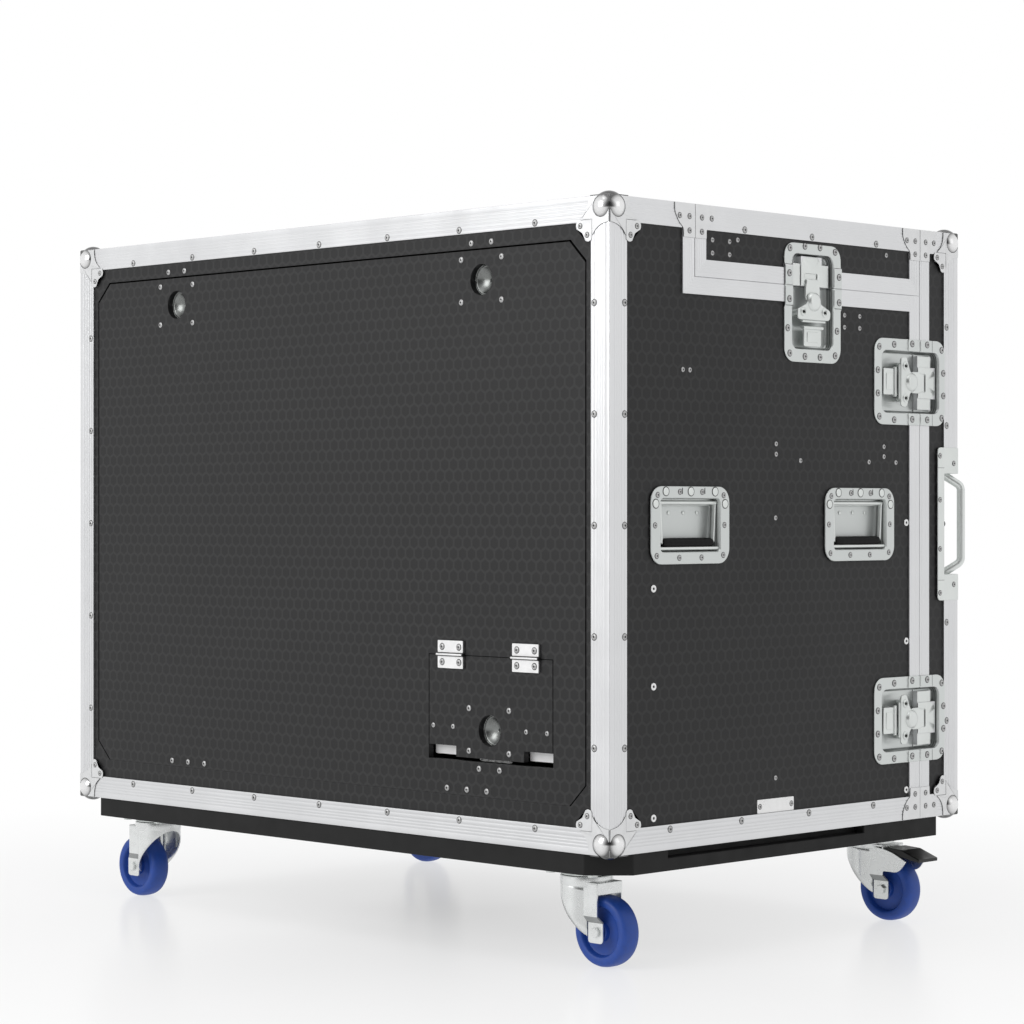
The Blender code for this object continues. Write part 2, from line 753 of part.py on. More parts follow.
PLATE_TOP = CASTOR_HEIGHT - SEAT
PLATE_LOW = PLATE_TOP - CASTOR_PLATE_THICK
RACE_LOW = PLATE_LOW - RACE_THICK
CROWN_TOP = RACE_LOW - SEAT
CROWN_LOW = CROWN_TOP - FORK_TOP / 2


def castor_plate():
    """The bolted top plate with the fixed race under it."""
    half_length = CASTOR_PLATE_LENGTH / 2
    half_width = CASTOR_PLATE_WIDTH / 2
    outline = rounded(-half_length, -half_width, half_length, half_width, CASTOR_PLATE_CORNER, 2)
    plate = prism(outline, PLATE_LOW, PLATE_TOP, "Z")
    race = prism(circle(0, 0, RACE_RADIUS - RACE_STEP, 24), RACE_LOW, PLATE_LOW + LAP, "Z")
    return joined(plate, race)


def castor_fork():
    """A pressed fork: crown disc, a skirt that wraps round the front, two stepped legs, and the axle."""
    inner = WHEEL_WIDTH / 2 + FORK_GAP
    outer = inner + FORK_SHEET
    far = CASTOR_TRAIL + WHEEL_RADIUS
    middle = outer - FORK_FRONT
    turns = [math.pi / 2 + math.pi * step / 8 for step in range(9)]
    outside = [(middle + outer * math.cos(turn), outer * math.sin(turn)) for turn in turns]
    inside = [(middle + inner * math.cos(turn), inner * math.sin(turn)) for turn in reversed(turns)]
    plan = [(far, outer), *outside, (far, -outer), (far, -inner), *inside, (far, inner)]
    axle = WHEEL_RADIUS
    trail = CASTOR_TRAIL
    skirt = prism(plan, axle - PAST / 2, CROWN_TOP - LAP, "Z")
    left = trail - LEG_HALF
    right = trail + LEG_HALF
    neck = right - LEG_NECK
    low = axle - LEG_BELOW_AXLE
    front = -FORK_FRONT - LAP
    outline = [(front, CROWN_TOP), (front, axle + SKIRT_FRONT),
               (front + SKIRT_SWEEP, axle + SKIRT_SWEEP), (left, axle + SKIRT_LIFT), (left, low + LEG_CORNER),
               (left + LEG_CORNER, low), (right - LEG_CORNER, low), (right, low + LEG_CORNER),
               (right, axle + LEG_SHOULDER - LEG_SHOULDER_DROP), (neck, axle + LEG_SHOULDER),
               (neck, CROWN_LOW - LEG_CORNER), (trail, CROWN_TOP)]
    fork = shared(skirt, prism(outline, -PAST, PAST, "Y"))
    crown = prism(circle(0, 0, RACE_RADIUS, 24), CROWN_LOW, CROWN_TOP, "Z")
    bolt = rod([(trail, -outer, axle), (trail, outer, axle)], AXLE_RADIUS, 12, (0, 0, 1))
    fork = joined(fork, crown, bolt)
    for side in (-1, 1):
        ends = sorted((side * (outer - LAP), side * (outer + AXLE_HEAD)))
        fork = joined(fork, prism(circle(trail, axle, AXLE_HEAD_RADIUS, 6), *ends, "Y"))
    return fork


def castor_wheel():
    """A turned wheel: wide tread, sunk web and hub with a bore for the axle."""
    half = WHEEL_WIDTH / 2
    hub = WHEEL_HUB_RADIUS
    rim = WHEEL_RIM_RADIUS
    web = half - WHEEL_WEB_SUNK
    side = [(AXLE_RADIUS + SEAT, half), (hub, half), (hub + SEAT, web), (rim - WHEEL_RIM_LIP, web),
            (rim, half - LAP), (WHEEL_RADIUS - WHEEL_EDGE, half), (WHEEL_RADIUS, half - WHEEL_EDGE)]
    profile = side + [(radius, -height) for radius, height in reversed(side)]
    return ring(profile, 24, (CASTOR_TRAIL, 0, WHEEL_RADIUS))


def castor_pedal():
    """The brake pedal: narrow between the legs, wide beyond them."""
    inside = WHEEL_WIDTH / 2 + FORK_GAP - SEAT
    wide = PEDAL_WIDTH / 2
    low = WHEEL_RADIUS * 2 + PEDAL_CLEAR
    thin = low + PEDAL_THICK - BOLT_SUNK
    tip = PEDAL_BACK + PEDAL_LENGTH
    start = CASTOR_TRAIL + LEG_HALF - LEG_NECK + PEDAL_GAP
    bend = start + PEDAL_BEND
    neck = prism(rectangle(PEDAL_BACK, low, start + LEG_NECK, thin), -inside, inside, "Y")
    blade = prism([(start, low), (bend, low - PEDAL_DROP), (tip, low - PEDAL_DROP * 2),
                   (tip, low - PEDAL_DROP), (bend, thin), (start, low + PEDAL_THICK)], -wide, wide, "Y")
    return joined(neck, blade)


def make_castors():
    """Four swivel castors that trail outward; the pair under the cover has brakes."""
    plate = castor_plate()
    fork = castor_fork()
    wheel = castor_wheel()
    pedal = castor_pedal()
    for word, side in SIDES:
        for end, depth_side in (("rear", -1), ("front", 1)):
            name = f"{end}_{word}"
            place = castor_place(side, depth_side)
            foot = place.translation
            swivel = pivot(f"{name}_swivel", (foot.x, foot.y, CROWN_TOP))
            axle = (foot.x + side * CASTOR_TRAIL, foot.y, WHEEL_RADIUS)
            node(f"castor_plate_{name}", moved(plate, place), ZINC)
            node(f"castor_fork_{name}", moved(fork, place), ZINC, swivel.location, swivel)
            node(f"castor_wheel_{name}", moved(wheel, place), BLUE_RUBBER, axle, swivel)
            if depth_side > 0:
                hinge = (foot.x + side * PEDAL_PIVOT_OUT, foot.y, PEDAL_PIVOT_UP)
                node(f"brake_pedal_{word}", moved(pedal, place), BLACK_STEEL, hinge, swivel)


# Castor board

def make_board():
    """A thick board with its corners cut off and a strap slot in each long upper edge."""
    half_x = HALF_WIDTH - BOARD_INSET
    half_y = HALF_DEPTH - BOARD_INSET
    outline = chamfered(-half_x, -half_y, half_x, half_y, BOARD_CORNER)
    board = prism(outline, CASTOR_HEIGHT, FOOT - SEAT, "Z")
    low = STRAP_SLOT_SHIFT - STRAP_SLOT_LENGTH / 2
    for word, side in SIDES:
        ends = sorted((side * (half_x - STRAP_SLOT_DEEP), side * (half_x + PAST)))
        slot = box((ends[0], low, FOOT - STRAP_SLOT_HEIGHT), (ends[1], low + STRAP_SLOT_LENGTH, FOOT + PAST))
        board = cut(board, slot)
    node("base_board", board, BLACK_PAINT)


def chamfered(left, low, right, high, corner):
    """A rectangle with its corners cut off."""
    return [(left + corner, low), (right - corner, low), (right, low + corner), (right, high - corner),
            (right - corner, high), (left + corner, high), (left, high - corner), (left, low + corner)]


# Body of the case

def latch_holes(shape, places, grow):
    """A shape with the pans of these latches cut out of it."""
    for place in places:
        shape = cut(shape, moved(pan_hole(grow), place))
    return shape


def make_body():
    """Ply panels held by one frame of edge extrusions, seam strips and ball corners."""
    outer = across_case(case_profile(0, 0), 0)
    inner = across_case(case_profile(EDGE_THICK, EDGE_THICK), EDGE_THICK)
    mouth = across_case(case_profile(WALL, -PAST), SEAM_LIP)
    edge = cut(outer, inner, mouth)
    edge = cut(edge, across_case(case_profile(EDGE_FLANGE, SEAM_STRIP), -PAST))
    back = -HALF_DEPTH
    edge = cut(edge, window((back - PAST, FOOT + EDGE_FLANGE), (back + PAST, TOP - EDGE_FLANGE)))
    edge = cut(edge, window((back + EDGE_FLANGE, FOOT - PAST),
                            (COVER_SEAM - HALF_GAP - SEAM_STRIP, FOOT + PAST)))
    edge = cut(edge, window((back + EDGE_FLANGE, TOP - PAST),
                            (REAR_SEAM - HALF_GAP - SEAM_STRIP, TOP + PAST)))
    edge = cut(joined(edge, *balls(back + BALL_INSET)), inner)
    edge = latch_holes(edge, LID_LATCHES + COVER_LATCHES, LATCH_SHEET + SEAT)
    node("body_edge_frame", edge, ALUMINIUM)

    for word, side in SIDES:
        ends = sorted((side * (HALF_WIDTH - WALL), side * (HALF_WIDTH - SKIN)))
        panel = prism(case_profile(SKIN, SKIN), *ends, "X")
        own = [place for name, hand, sign, place in LATCHES if sign == side]
        panel = latch_holes(panel, own, LATCH_SHEET + SEAT)
        for name, sign, place in HANDLES:
            if sign == side:
                hole = prism(handle_plan(HANDLE_SHEET + SEAT), -PAST, PAST, "Z")
                panel = cut(panel, moved(hole, place))
        node(f"side_panel_{word}", panel, BLACK_PLY)

    inside = HALF_WIDTH - WALL - SEAT
    node("bottom_panel", box((-inside, DOOR_BACK + SEAT, FOOT + SKIN),
                             (inside, COVER_SEAM - HALF_GAP - SKIN, FOOT + WALL)), BLACK_PLY)
    node("fixed_top_panel", box((-inside, DOOR_BACK + SEAT, TOP - WALL),
                                (inside, REAR_SEAM - HALF_GAP - SKIN, TOP - SKIN)), BLACK_PLY)
    opening = chamfered(DOOR_LEFT - DOOR_GAP, DOOR_LOW - SEAT, -DOOR_LEFT + DOOR_GAP, DOOR_HIGH + DOOR_GAP,
                        DOOR_CORNER)
    wall = rectangle(-inside, FOOT + SKIN, inside, TOP - SKIN)
    node("door_frame", prism(wall, DOOR_FACE, DOOR_BACK, "Y", [opening]), BLACK_PLY)


# Lid and cover

def make_lid():
    """A top with two short sides, its edges, and the keeper halves of two latches."""
    outer = across_case(lid_profile(0, 0), 0)
    edge = cut(outer, across_case(lid_profile(EDGE_THICK, EDGE_THICK), EDGE_THICK), LID_MOUTH)
    edge = cut(edge, across_case(lid_profile(EDGE_FLANGE, SEAM_STRIP), -PAST))
    edge = cut(edge, window((REAR_SEAM + SEAM_STRIP, TOP - PAST), (COVER_SEAM - SEAM_STRIP, TOP + PAST)))
    edge = latch_holes(edge, LID_LATCHES, LATCH_SHEET / 2)
    edge = latch_holes(edge, COVER_LATCHES, LATCH_SHEET + SEAT)
    keeper = latch_keeper(True)
    for place in LID_LATCHES:
        edge = joined(edge, moved(keeper, place))
    shell = cut(across_case(lid_profile(SKIN, SKIN), SKIN), LID_MOUTH)
    shell = latch_holes(shell, LID_LATCHES, LATCH_SHEET + SEAT)
    spot = (0, (REAR_SEAM + COVER_SEAM) / 2, LID_SEAM)
    carrier = pivot("lid_lift", spot)
    node("lid_edge_frame", edge, ALUMINIUM, spot, carrier)
    node("lid_panel", shell, BLACK_PLY, spot, carrier)


def make_cover():
    """A shallow tray with its edges, ball corners, keeper halves of four latches and corner handles."""
    outer = across_case(cover_profile(0, 0), 0)
    inner = across_case(cover_profile(EDGE_THICK, EDGE_THICK), EDGE_THICK)
    edge = cut(outer, inner, COVER_MOUTH)
    edge = cut(edge, across_case(cover_profile(EDGE_FLANGE, SEAM_STRIP), -PAST))
    face = HALF_DEPTH
    edge = cut(edge, window((face - PAST, FOOT + EDGE_FLANGE), (face + PAST, TOP - EDGE_FLANGE)))
    for level in (FOOT, TOP):
        edge = cut(edge, window((COVER_SEAM + HALF_GAP + SEAM_STRIP, level - PAST / 2),
                                (face - EDGE_FLANGE, level + PAST / 2)))
    edge = cut(joined(edge, *balls(face - BALL_INSET)), inner)
    edge = latch_holes(edge, COVER_LATCHES, LATCH_SHEET / 2)
    keeper = latch_keeper(False)
    for place in COVER_LATCHES:
        edge = joined(edge, moved(keeper, place))
    shell = cut(across_case(cover_profile(SKIN, SKIN), SKIN), COVER_MOUTH)
    shell = latch_holes(shell, COVER_LATCHES, LATCH_SHEET + SEAT)
    room = CORNER_ROOM + SEAT
    for word, side in SIDES:
        away = corner_cut(side, room, CORNER_CUT_HEIGHT + 2 * room)
        edge = cut(edge, away)
        shell = cut(shell, away)
    spot = (0, COVER_SEAM, MIDDLE)
    carrier = pivot("cover_pull", spot)
    node("cover_edge_frame", edge, ALUMINIUM, spot, carrier)
    node("cover_panel", shell, BLACK_PLY, spot, carrier)
    for word, side in SIDES:
        node(f"corner_handle_{word}", corner_handle(side), ZINC, spot, carrier)


def make_latches():
    """Six latches: dish, folding wing and sliding claw each."""
    body = latch_body()
    claw = latch_claw()
    wing = latch_wing()
    for name, word, side, place in LATCHES:
        hinge = place @ Vector((0, -WING_PIVOT_BACK, WING_AXIS_OUT))
        node(f"{name}_dish_{word}", moved(body, place), ZINC, place.translation)
        node(f"{name}_wing_{word}", moved(wing, place), ZINC, hinge)
        node(f"{name}_claw_{word}", moved(claw, place), ZINC, place.translation)


def make_handles():
    """Four recessed handles: dish and bail each."""
    dish = handle_dish()
    bail = handle_bail()
    for name, side, place in HANDLES:
        hinge = place @ Vector((0, BAIL_PIVOT_UP, BAIL_OUT))
        node(f"{name}_dish", moved(dish, place), ZINC, place.translation)
        node(f"{name}_bail", moved(bail, place), ZINC, hinge)


# Door and cable hatch

DOOR_LEFT = -(HALF_WIDTH - DOOR_SIDE_MARGIN)
DOOR_LOW = FOOT + DOOR_BOTTOM_MARGIN
DOOR_HIGH = TOP - DOOR_TOP_MARGIN
HATCH_RIGHT = -DOOR_LEFT - HATCH_SIDE_MARGIN
HATCH_LEFT = HATCH_RIGHT - HATCH_WIDTH
HATCH_MIDDLE = (HATCH_LEFT + HATCH_RIGHT) / 2
HATCH_LOW = DOOR_LOW + HATCH_BOTTOM_MARGIN
HATCH_HIGH = HATCH_LOW + HATCH_HEIGHT
HATCH_PIN = (DOOR_FACE - HINGE_PIN_PROUD, HATCH_HIGH)


def slider(x, level, bolt_end):
    """A sprung bolt with a finger cup: pulled by a finger through the hole in front of it."""
    front = DOOR_BACK + SEAT
    back = front + SLIDER_THICK
    half = SLIDER_WIDTH / 2
    tall = SLIDER_HEIGHT / 2
    block = box((x - half, front, level - tall), (x + half, back, level + tall))
    away = math.sqrt(SLIDER_CUP_RADIUS ** 2 - FINGER_RADIUS ** 2)
    block = cut(block, ball((x, front - away, level), SLIDER_CUP_RADIUS, 20, 12))
    root = level + math.copysign(BOLT_ROOT, bolt_end - level)
    ends = sorted((bolt_end, root))
    bolt = box((x - BOLT_WIDTH / 2, front + BOLT_SUNK, ends[0]),
               (x + BOLT_WIDTH / 2, back - BOLT_SUNK, ends[1]))
    return joined(block, bolt)


def guides(x, level):
    """The two rails that a slider runs between."""
    rails = []
    for hand in (-1, 1):
        near = SLIDER_WIDTH / 2 + SEAT
        ends = sorted((x + hand * near, x + hand * (near + SLIDER_RAIL)))
        rails.append(box((ends[0], DOOR_BACK - SEAT, level - SLIDER_HEIGHT / 2),
                         (ends[1], DOOR_BACK + SLIDER_THICK, level + SLIDER_HEIGHT / 2)))
    return rails


def hinge_middles():
    """The middles of the two hinges."""
    return [HATCH_MIDDLE - HINGE_SPREAD, HATCH_MIDDLE + HINGE_SPREAD]


def make_door():
    """The lift-out door, its two slam latches, and the hatch with its own latch and hinges."""
    latch_level = DOOR_HIGH - DOOR_LATCH_DROP
    outline = chamfered(DOOR_LEFT, DOOR_LOW, -DOOR_LEFT, DOOR_HIGH, DOOR_CORNER)
    fingers = [circle(hand * DOOR_LATCH_SPREAD, latch_level, FINGER_RADIUS, 24) for hand in (-1, 1)]
    hatch_hole = rectangle(HATCH_LEFT, HATCH_LOW, HATCH_RIGHT, HATCH_HIGH)
    panel = prism(outline, DOOR_FACE, DOOR_BACK, "Y", [*fingers, hatch_hole])
    for hand in (-1, 1):
        panel = joined(panel, *guides(hand * DOOR_LATCH_SPREAD, latch_level))
        high = DOOR_LOW + TONGUE_HEIGHT
        foot = DOOR_LOW - TONGUE_REACH
        clear = DOOR_BACK + SEAT * 2
        outside = DOOR_BACK + TONGUE_THICK
        tongue = [(DOOR_BACK - SEAT, DOOR_LOW + SEAT), (DOOR_BACK - SEAT, high), (outside, high),
                  (outside, foot), (clear, foot), (clear, DOOR_LOW + SEAT)]
        middle = hand * TONGUE_SPREAD
        panel = joined(panel, prism(tongue, middle - TONGUE_WIDTH / 2, middle + TONGUE_WIDTH / 2, "X"))
    leaf_low = HATCH_PIN[1] + HINGE_PIN_RADIUS + SEAT
    for middle in hinge_middles():
        half = HINGE_LEAF_WIDTH / 2
        leaf = box((middle - half, DOOR_FACE - HINGE_LEAF_THICK, leaf_low),
                   (middle + half, DOOR_FACE + SEAT, leaf_low + HINGE_LEAF_HEIGHT))
        panel = joined(panel, leaf)
    sill = (0, DOOR_FACE, DOOR_LOW)
    carrier = pivot("door_tilt", sill)
    node("door_panel", panel, BLACK_PLY, sill, carrier)
    for word, side in SIDES:
        x = side * DOOR_LATCH_SPREAD
        bolt = slider(x, latch_level, DOOR_HIGH - BOLT_SHORT)
        node(f"door_bolt_{word}", bolt, ZINC, (x, DOOR_BACK, latch_level), carrier)

    left = HATCH_LEFT + HATCH_SIDE_GAP
    right = HATCH_RIGHT - HATCH_SIDE_GAP
    low = HATCH_LOW + HATCH_FOOT_GAP
    high = HATCH_HIGH - HATCH_TOP_GAP
    hatch_level = HATCH_LOW + HATCH_LATCH_RISE
    hole = circle(HATCH_MIDDLE, hatch_level, FINGER_RADIUS, 24)
    hatch = prism(rectangle(left, low, right, high), DOOR_FACE, DOOR_BACK, "Y", [hole])
    for edge, inward in ((HATCH_LEFT, 1), (HATCH_RIGHT, -1)):
        ends = sorted((edge - inward * PAST, edge + inward * CABLE_NOTCH_WIDTH))
        hatch = cut(hatch, box((ends[0], DOOR_FACE - PAST, low - PAST),
                               (ends[1], DOOR_BACK + PAST, low + CABLE_NOTCH_HEIGHT)))
    hatch = joined(hatch, *guides(HATCH_MIDDLE, hatch_level))
    pin_y, pin_z = HATCH_PIN
    for middle in hinge_middles():
        half = HINGE_LEAF_WIDTH / 2
        leaf_top = pin_z - HINGE_PIN_RADIUS / 2
        leaf = box((middle - half, DOOR_FACE - HINGE_LEAF_THICK, leaf_top - HINGE_LEAF_HEIGHT),
                   (middle + half, DOOR_FACE + SEAT, leaf_top))
        half -= SEAT
        knuckle = rod([(middle - half, pin_y, pin_z), (middle + half, pin_y, pin_z)],
                      HINGE_PIN_RADIUS, 12, (0, 0, 1))
        hatch = joined(hatch, joined(leaf, knuckle))
    hatch_hinge = pivot("hatch_hinge", (HATCH_MIDDLE, pin_y, pin_z))
    node("hatch_flap", hatch, BLACK_PLY, hatch_hinge.location, hatch_hinge)
    bolt = slider(HATCH_MIDDLE, hatch_level, low + BOLT_SHORT)
    node("hatch_bolt", bolt, ZINC, (HATCH_MIDDLE, DOOR_BACK, hatch_level), hatch_hinge)


# Rack frames

def make_racks():
    """Two steel frames side by side, each round a nineteen-inch opening with a return behind it."""
    front = COVER_SEAM - RACK_SETBACK
    low = FOOT + WALL + SEAT
    high = LID_SEAM - RACK_TOP_GAP
    far = HALF_WIDTH - WALL - RACK_SIDE_GAP
    middle = far / 2
    half = RACK_OPENING / 2
    for word, side in SIDES:
        ends = sorted((side * SEAT, side * far))
        centre = side * middle
        outer = rectangle(ends[0], low, ends[1], high)
        opening = rectangle(centre - half, low + RACK_RAIL_TOP, centre + half, high - RACK_RAIL_TOP)
        lip = rectangle(centre - half - RACK_SHEET, low + RACK_RAIL_TOP - RACK_SHEET,
                        centre + half + RACK_SHEET, high - RACK_RAIL_TOP + RACK_SHEET)
        plate = prism(outer, front - RACK_SHEET, front, "Y", [opening])
        sleeve = prism(lip, front - RACK_RETURN, front - RACK_SHEET / 2, "Y", [opening])
        node(f"rack_frame_{word}", joined(plate, sleeve), BLACK_STEEL)


make_board()
make_castors()
make_body()
make_lid()
make_cover()
make_latches()
make_handles()
make_door()
make_racks()
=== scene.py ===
import bpy
import bmesh
import numpy as np
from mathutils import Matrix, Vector


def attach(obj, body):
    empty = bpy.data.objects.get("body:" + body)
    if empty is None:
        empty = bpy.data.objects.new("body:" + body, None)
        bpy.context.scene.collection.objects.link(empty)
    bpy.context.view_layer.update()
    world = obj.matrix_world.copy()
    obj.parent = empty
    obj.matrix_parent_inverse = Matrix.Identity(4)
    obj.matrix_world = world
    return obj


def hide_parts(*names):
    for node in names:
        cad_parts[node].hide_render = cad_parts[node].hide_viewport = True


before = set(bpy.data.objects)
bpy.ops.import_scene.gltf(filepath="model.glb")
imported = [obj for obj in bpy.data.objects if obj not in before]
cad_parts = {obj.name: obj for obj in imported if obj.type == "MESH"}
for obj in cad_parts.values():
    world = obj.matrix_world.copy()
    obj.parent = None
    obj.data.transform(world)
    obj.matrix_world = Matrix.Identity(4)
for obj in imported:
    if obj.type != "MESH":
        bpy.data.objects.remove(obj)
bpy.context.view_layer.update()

# Castor board
# The case stands on a slab of thick plywood, cut to the case's plan with its corners off and
# painted dull black by brush, so that it is a little uneven in colour and gloss.


def rgba(color):
    """A colour as a material takes it, from red, green and blue or from one number for a grey."""
    return (*(float(v) for v in np.broadcast_to(color, 3)), 1.0)


def shader(name, color, roughness, metallic=0.0, specular=0.5):
    """A new material: its nodes, its links and its surface, with the constants on the surface."""
    material = bpy.data.materials.new(name)
    material.use_nodes = True
    surface = material.node_tree.nodes["Principled BSDF"]
    surface.inputs["Base Color"].default_value = rgba(color)
    surface.inputs["Roughness"].default_value = roughness
    surface.inputs["Metallic"].default_value = metallic
    surface.inputs["Specular IOR Level"].default_value = specular
    return material, material.node_tree.nodes, material.node_tree.links, surface


def noise_of(nodes, links, where, scale, detail=2.0):
    """A noise over the points given, with its fineness per metre."""
    noise = nodes.new("ShaderNodeTexNoise")
    noise.inputs["Scale"].default_value = scale
    noise.inputs["Detail"].default_value = detail
    links.new(where, noise.inputs["Vector"])
    return noise.outputs["Fac"]


def ranged(nodes, links, value, source, target=(0.0, 1.0)):
    """A number carried from one range to another and held at the ends of it."""
    change = nodes.new("ShaderNodeMapRange")
    ends = zip(("From Min", "From Max", "To Min", "To Max"), (*source, *target))
    for name, level in ends:
        change.inputs[name].default_value = level
    links.new(value, change.inputs["Value"])
    return change.outputs["Result"]


def graded(nodes, links, value, stops):
    """A number turned into a colour, with a stop for each (place, colour) given."""
    ramp = nodes.new("ShaderNodeValToRGB")
    elements = ramp.color_ramp.elements
    while len(elements) < len(stops):
        elements.new(0.5)
    for stop, (place, color) in zip(elements, stops):
        stop.position = place
        stop.color = rgba(color)
    links.new(value, ramp.inputs["Fac"])
    return ramp.outputs["Color"]


def add_bump(nodes, links, surface, height, strength, distance):
    """Height from a pattern, felt by the light on the surface."""
    bump = nodes.new("ShaderNodeBump")
    bump.inputs["Strength"].default_value = strength
    bump.inputs["Distance"].default_value = distance
    links.new(height, bump.inputs["Height"])
    links.new(bump.outputs["Normal"], surface.inputs["Normal"])


def mottled(name, dark, light, gloss, metallic=0.0, grain=60, bump=0.0, specular=0.5):
    """A finish that wanders between two colours and two roughnesses with a noise; grain is its
    fineness per metre."""
    material, nodes, links, surface = shader(name, light, gloss[1], metallic, specular)
    noise = noise_of(nodes, links, nodes.new("ShaderNodeTexCoord").outputs["Object"], grain, 4.0)
    links.new(graded(nodes, links, noise, ((0.3, dark), (0.7, light))), surface.inputs["Base Color"])
    links.new(ranged(nodes, links, noise, (0.3, 0.7), gloss), surface.inputs["Roughness"])
    if bump:
        add_bump(nodes, links, surface, noise, bump, 0.0002)
    return material


def dress(look, *names):
    """Gives CAD nodes their finish."""
    for name in names:
        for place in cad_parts[name].material_slots:
            place.material = look


def ease(width, *names):
    """Breaks the sharp edges of CAD nodes, as handling and tumbling do."""
    for name in names:
        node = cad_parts[name]
        node.modifiers.new("weld", "WELD").merge_threshold = 0.00001
        bevel = node.modifiers.new("ease", "BEVEL")
        bevel.width = width
        bevel.segments = 2
        bevel.limit_method = "ANGLE"
        bevel.angle_limit = np.radians(40)


brushed_black = mottled("brushed_black", 0.007, 0.012, (0.55, 0.75), grain=35, bump=0.25, specular=0.25)
dress(brushed_black, "base_board")
ease(0.0012, "base_board")


# Castors
# Bright zinc pressings: a bolted plate, a ball race, and a fork whose legs step out round a solid
# blue wheel and whose shroud wraps its front. The pair under the cover has black brake pedals.


def grid(rows, columns, around=False):
    """Faces over rows by columns of points, joined up around the columns if asked."""
    row, column = np.meshgrid(np.arange(rows - 1) * columns, np.arange(columns - (not around)),
                              indexing="ij")
    beside = (column + 1) % columns
    above = row + columns
    return np.stack([row + column, row + beside, above + beside, above + column], -1).reshape(-1, 4)


def turned(profile, sides, start=0.0):
    """A profile of (radius, height) turned about the local out axis, its two ends closed."""
    turn = np.linspace(0, 2 * np.pi, sides, endpoint=False) + start
    radius, height = np.asarray(profile, float).T
    points = np.stack([radius[:, None] * np.cos(turn), radius[:, None] * np.sin(turn),
                       height[:, None] + 0 * turn], -1).reshape(-1, 3)
    last = (len(radius) - 1) * sides
    ends = np.stack([np.arange(sides)[::-1], np.arange(sides) + last])
    return points, [grid(len(radius), sides, around=True), ends]


def at(shape, origin, across=(1, 0, 0), along=(0, 1, 0), out=(0, 0, 1)):
    """A shape carried from its own axes to a place on the case; a mirrored one is turned outside in
    again by reversing its faces."""
    points, faces = shape
    axes = np.array([across, along, out], float)
    if np.linalg.det(axes) < 0:
        faces = [block[:, ::-1] for block in faces]
    return points @ axes + np.array(origin, float), faces


def together(shapes):
    """Several shapes as one: points stacked, and faces counted on from those before."""
    points = np.concatenate([shape[0] for shape in shapes])
    starts = np.cumsum([0] + [len(shape[0]) for shape in shapes[:-1]])
    faces = [block + start for (_, blocks), start in zip(shapes, starts) for block in blocks]
    return points, faces


def softened(points, radius, steps=4):
    """A closed outline with round corners: each corner is replaced by the curve that weights the
    points a radius away on its two sides and the corner itself by the squares of its progress."""
    points = np.asarray(points, float)
    before = np.roll(points, 1, 0) - points
    after = np.roll(points, -1, 0) - points
    radius = np.broadcast_to(np.asarray(radius, float), len(points))[:, None]
    start = points + before / np.linalg.norm(before, axis=1, keepdims=True) * radius
    end = points + after / np.linalg.norm(after, axis=1, keepdims=True) * radius
    go = np.linspace(0, 1, steps + 1)[None, :, None]
    curve = (1 - go) ** 2 * start[:, None] + 2 * go * (1 - go) * points[:, None] + go ** 2 * end[:, None]
    return curve.reshape(-1, 2)


def both_sides(half):
    """A closed outline from its right half, listed upward; it starts at the lowest point on the
    left, and the left side comes last, listed downward."""
    return [(-half[0][0], half[0][1]), *half, *((-a, b) for a, b in half[:0:-1])]


def inset(outline, distance):
    """An outline moved inward by a distance along the mitre of each corner."""
    before = outline - np.roll(outline, 1, 0)
    after = np.roll(outline, -1, 0) - outline
    before /= np.maximum(np.linalg.norm(before, axis=1, keepdims=True), 1e-9)
    after /= np.maximum(np.linalg.norm(after, axis=1, keepdims=True), 1e-9)
    area = (outline[:, 0] * np.roll(outline[:, 1], -1)
            - outline[:, 1] * np.roll(outline[:, 0], -1)).sum()
    square = np.sign(area) * np.stack([-before[:, 1] - after[:, 1], before[:, 0] + after[:, 0]], -1)
    own = np.sign(area) * np.stack([-after[:, 1], after[:, 0]], -1)
    return outline + distance * square / np.maximum((square * own).sum(1, keepdims=True), 0.4)


def plate(outline, low, high, ease=0.0003):
    """A flat plate between two levels, its upper rim broken by a small chamfer."""
    outline = np.asarray(outline, float)
    rings = [(outline, low), (outline, high - ease), (inset(outline, ease), high)]
    points = np.concatenate([np.column_stack([ring, np.full(len(ring), level)]) for ring, level in rings])
    count = len(outline)
    sides = grid(3, count, around=True)
    ends = np.stack([np.arange(count)[::-1], np.arange(count) + 2 * count])
    return points, [sides[:count], sides[count:], ends]


def piece(name, shape, look, body, sheet=0.0, edges=None):
    """A finished piece that rides on a body. An open sheet gets its thickness behind it; a closed
    shape has its faces turned out. A piece of flat plates, whose faces come as walls, chamfer and
    ends, may have its walls in a second finish."""
    points, faces = shape
    mesh = bpy.data.meshes.new(name)
    mesh.from_pydata(points.tolist(), [], [face for block in faces for face in block.tolist()])
    if not sheet:
        work = bmesh.new()
        work.from_mesh(mesh)
        bmesh.ops.recalc_face_normals(work, faces=work.faces)
        work.to_mesh(mesh)
        work.free()
    mesh.materials.append(look)
    if edges:
        mesh.materials.append(edges)
        walls = np.concatenate([np.full(len(block), step % 3 == 0) for step, block in enumerate(faces)])
        mesh.polygons.foreach_set("material_index", walls.astype(np.int32))
    mesh.shade_smooth()
    mesh.set_sharp_from_angle(angle=np.radians(38))
    thing = bpy.data.objects.new(name, mesh)
    bpy.context.scene.collection.objects.link(thing)
    if sheet:
        wall = thing.modifiers.new("wall", "SOLIDIFY")
        wall.thickness = sheet
        wall.offset = -1
    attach(thing, body)
    return thing


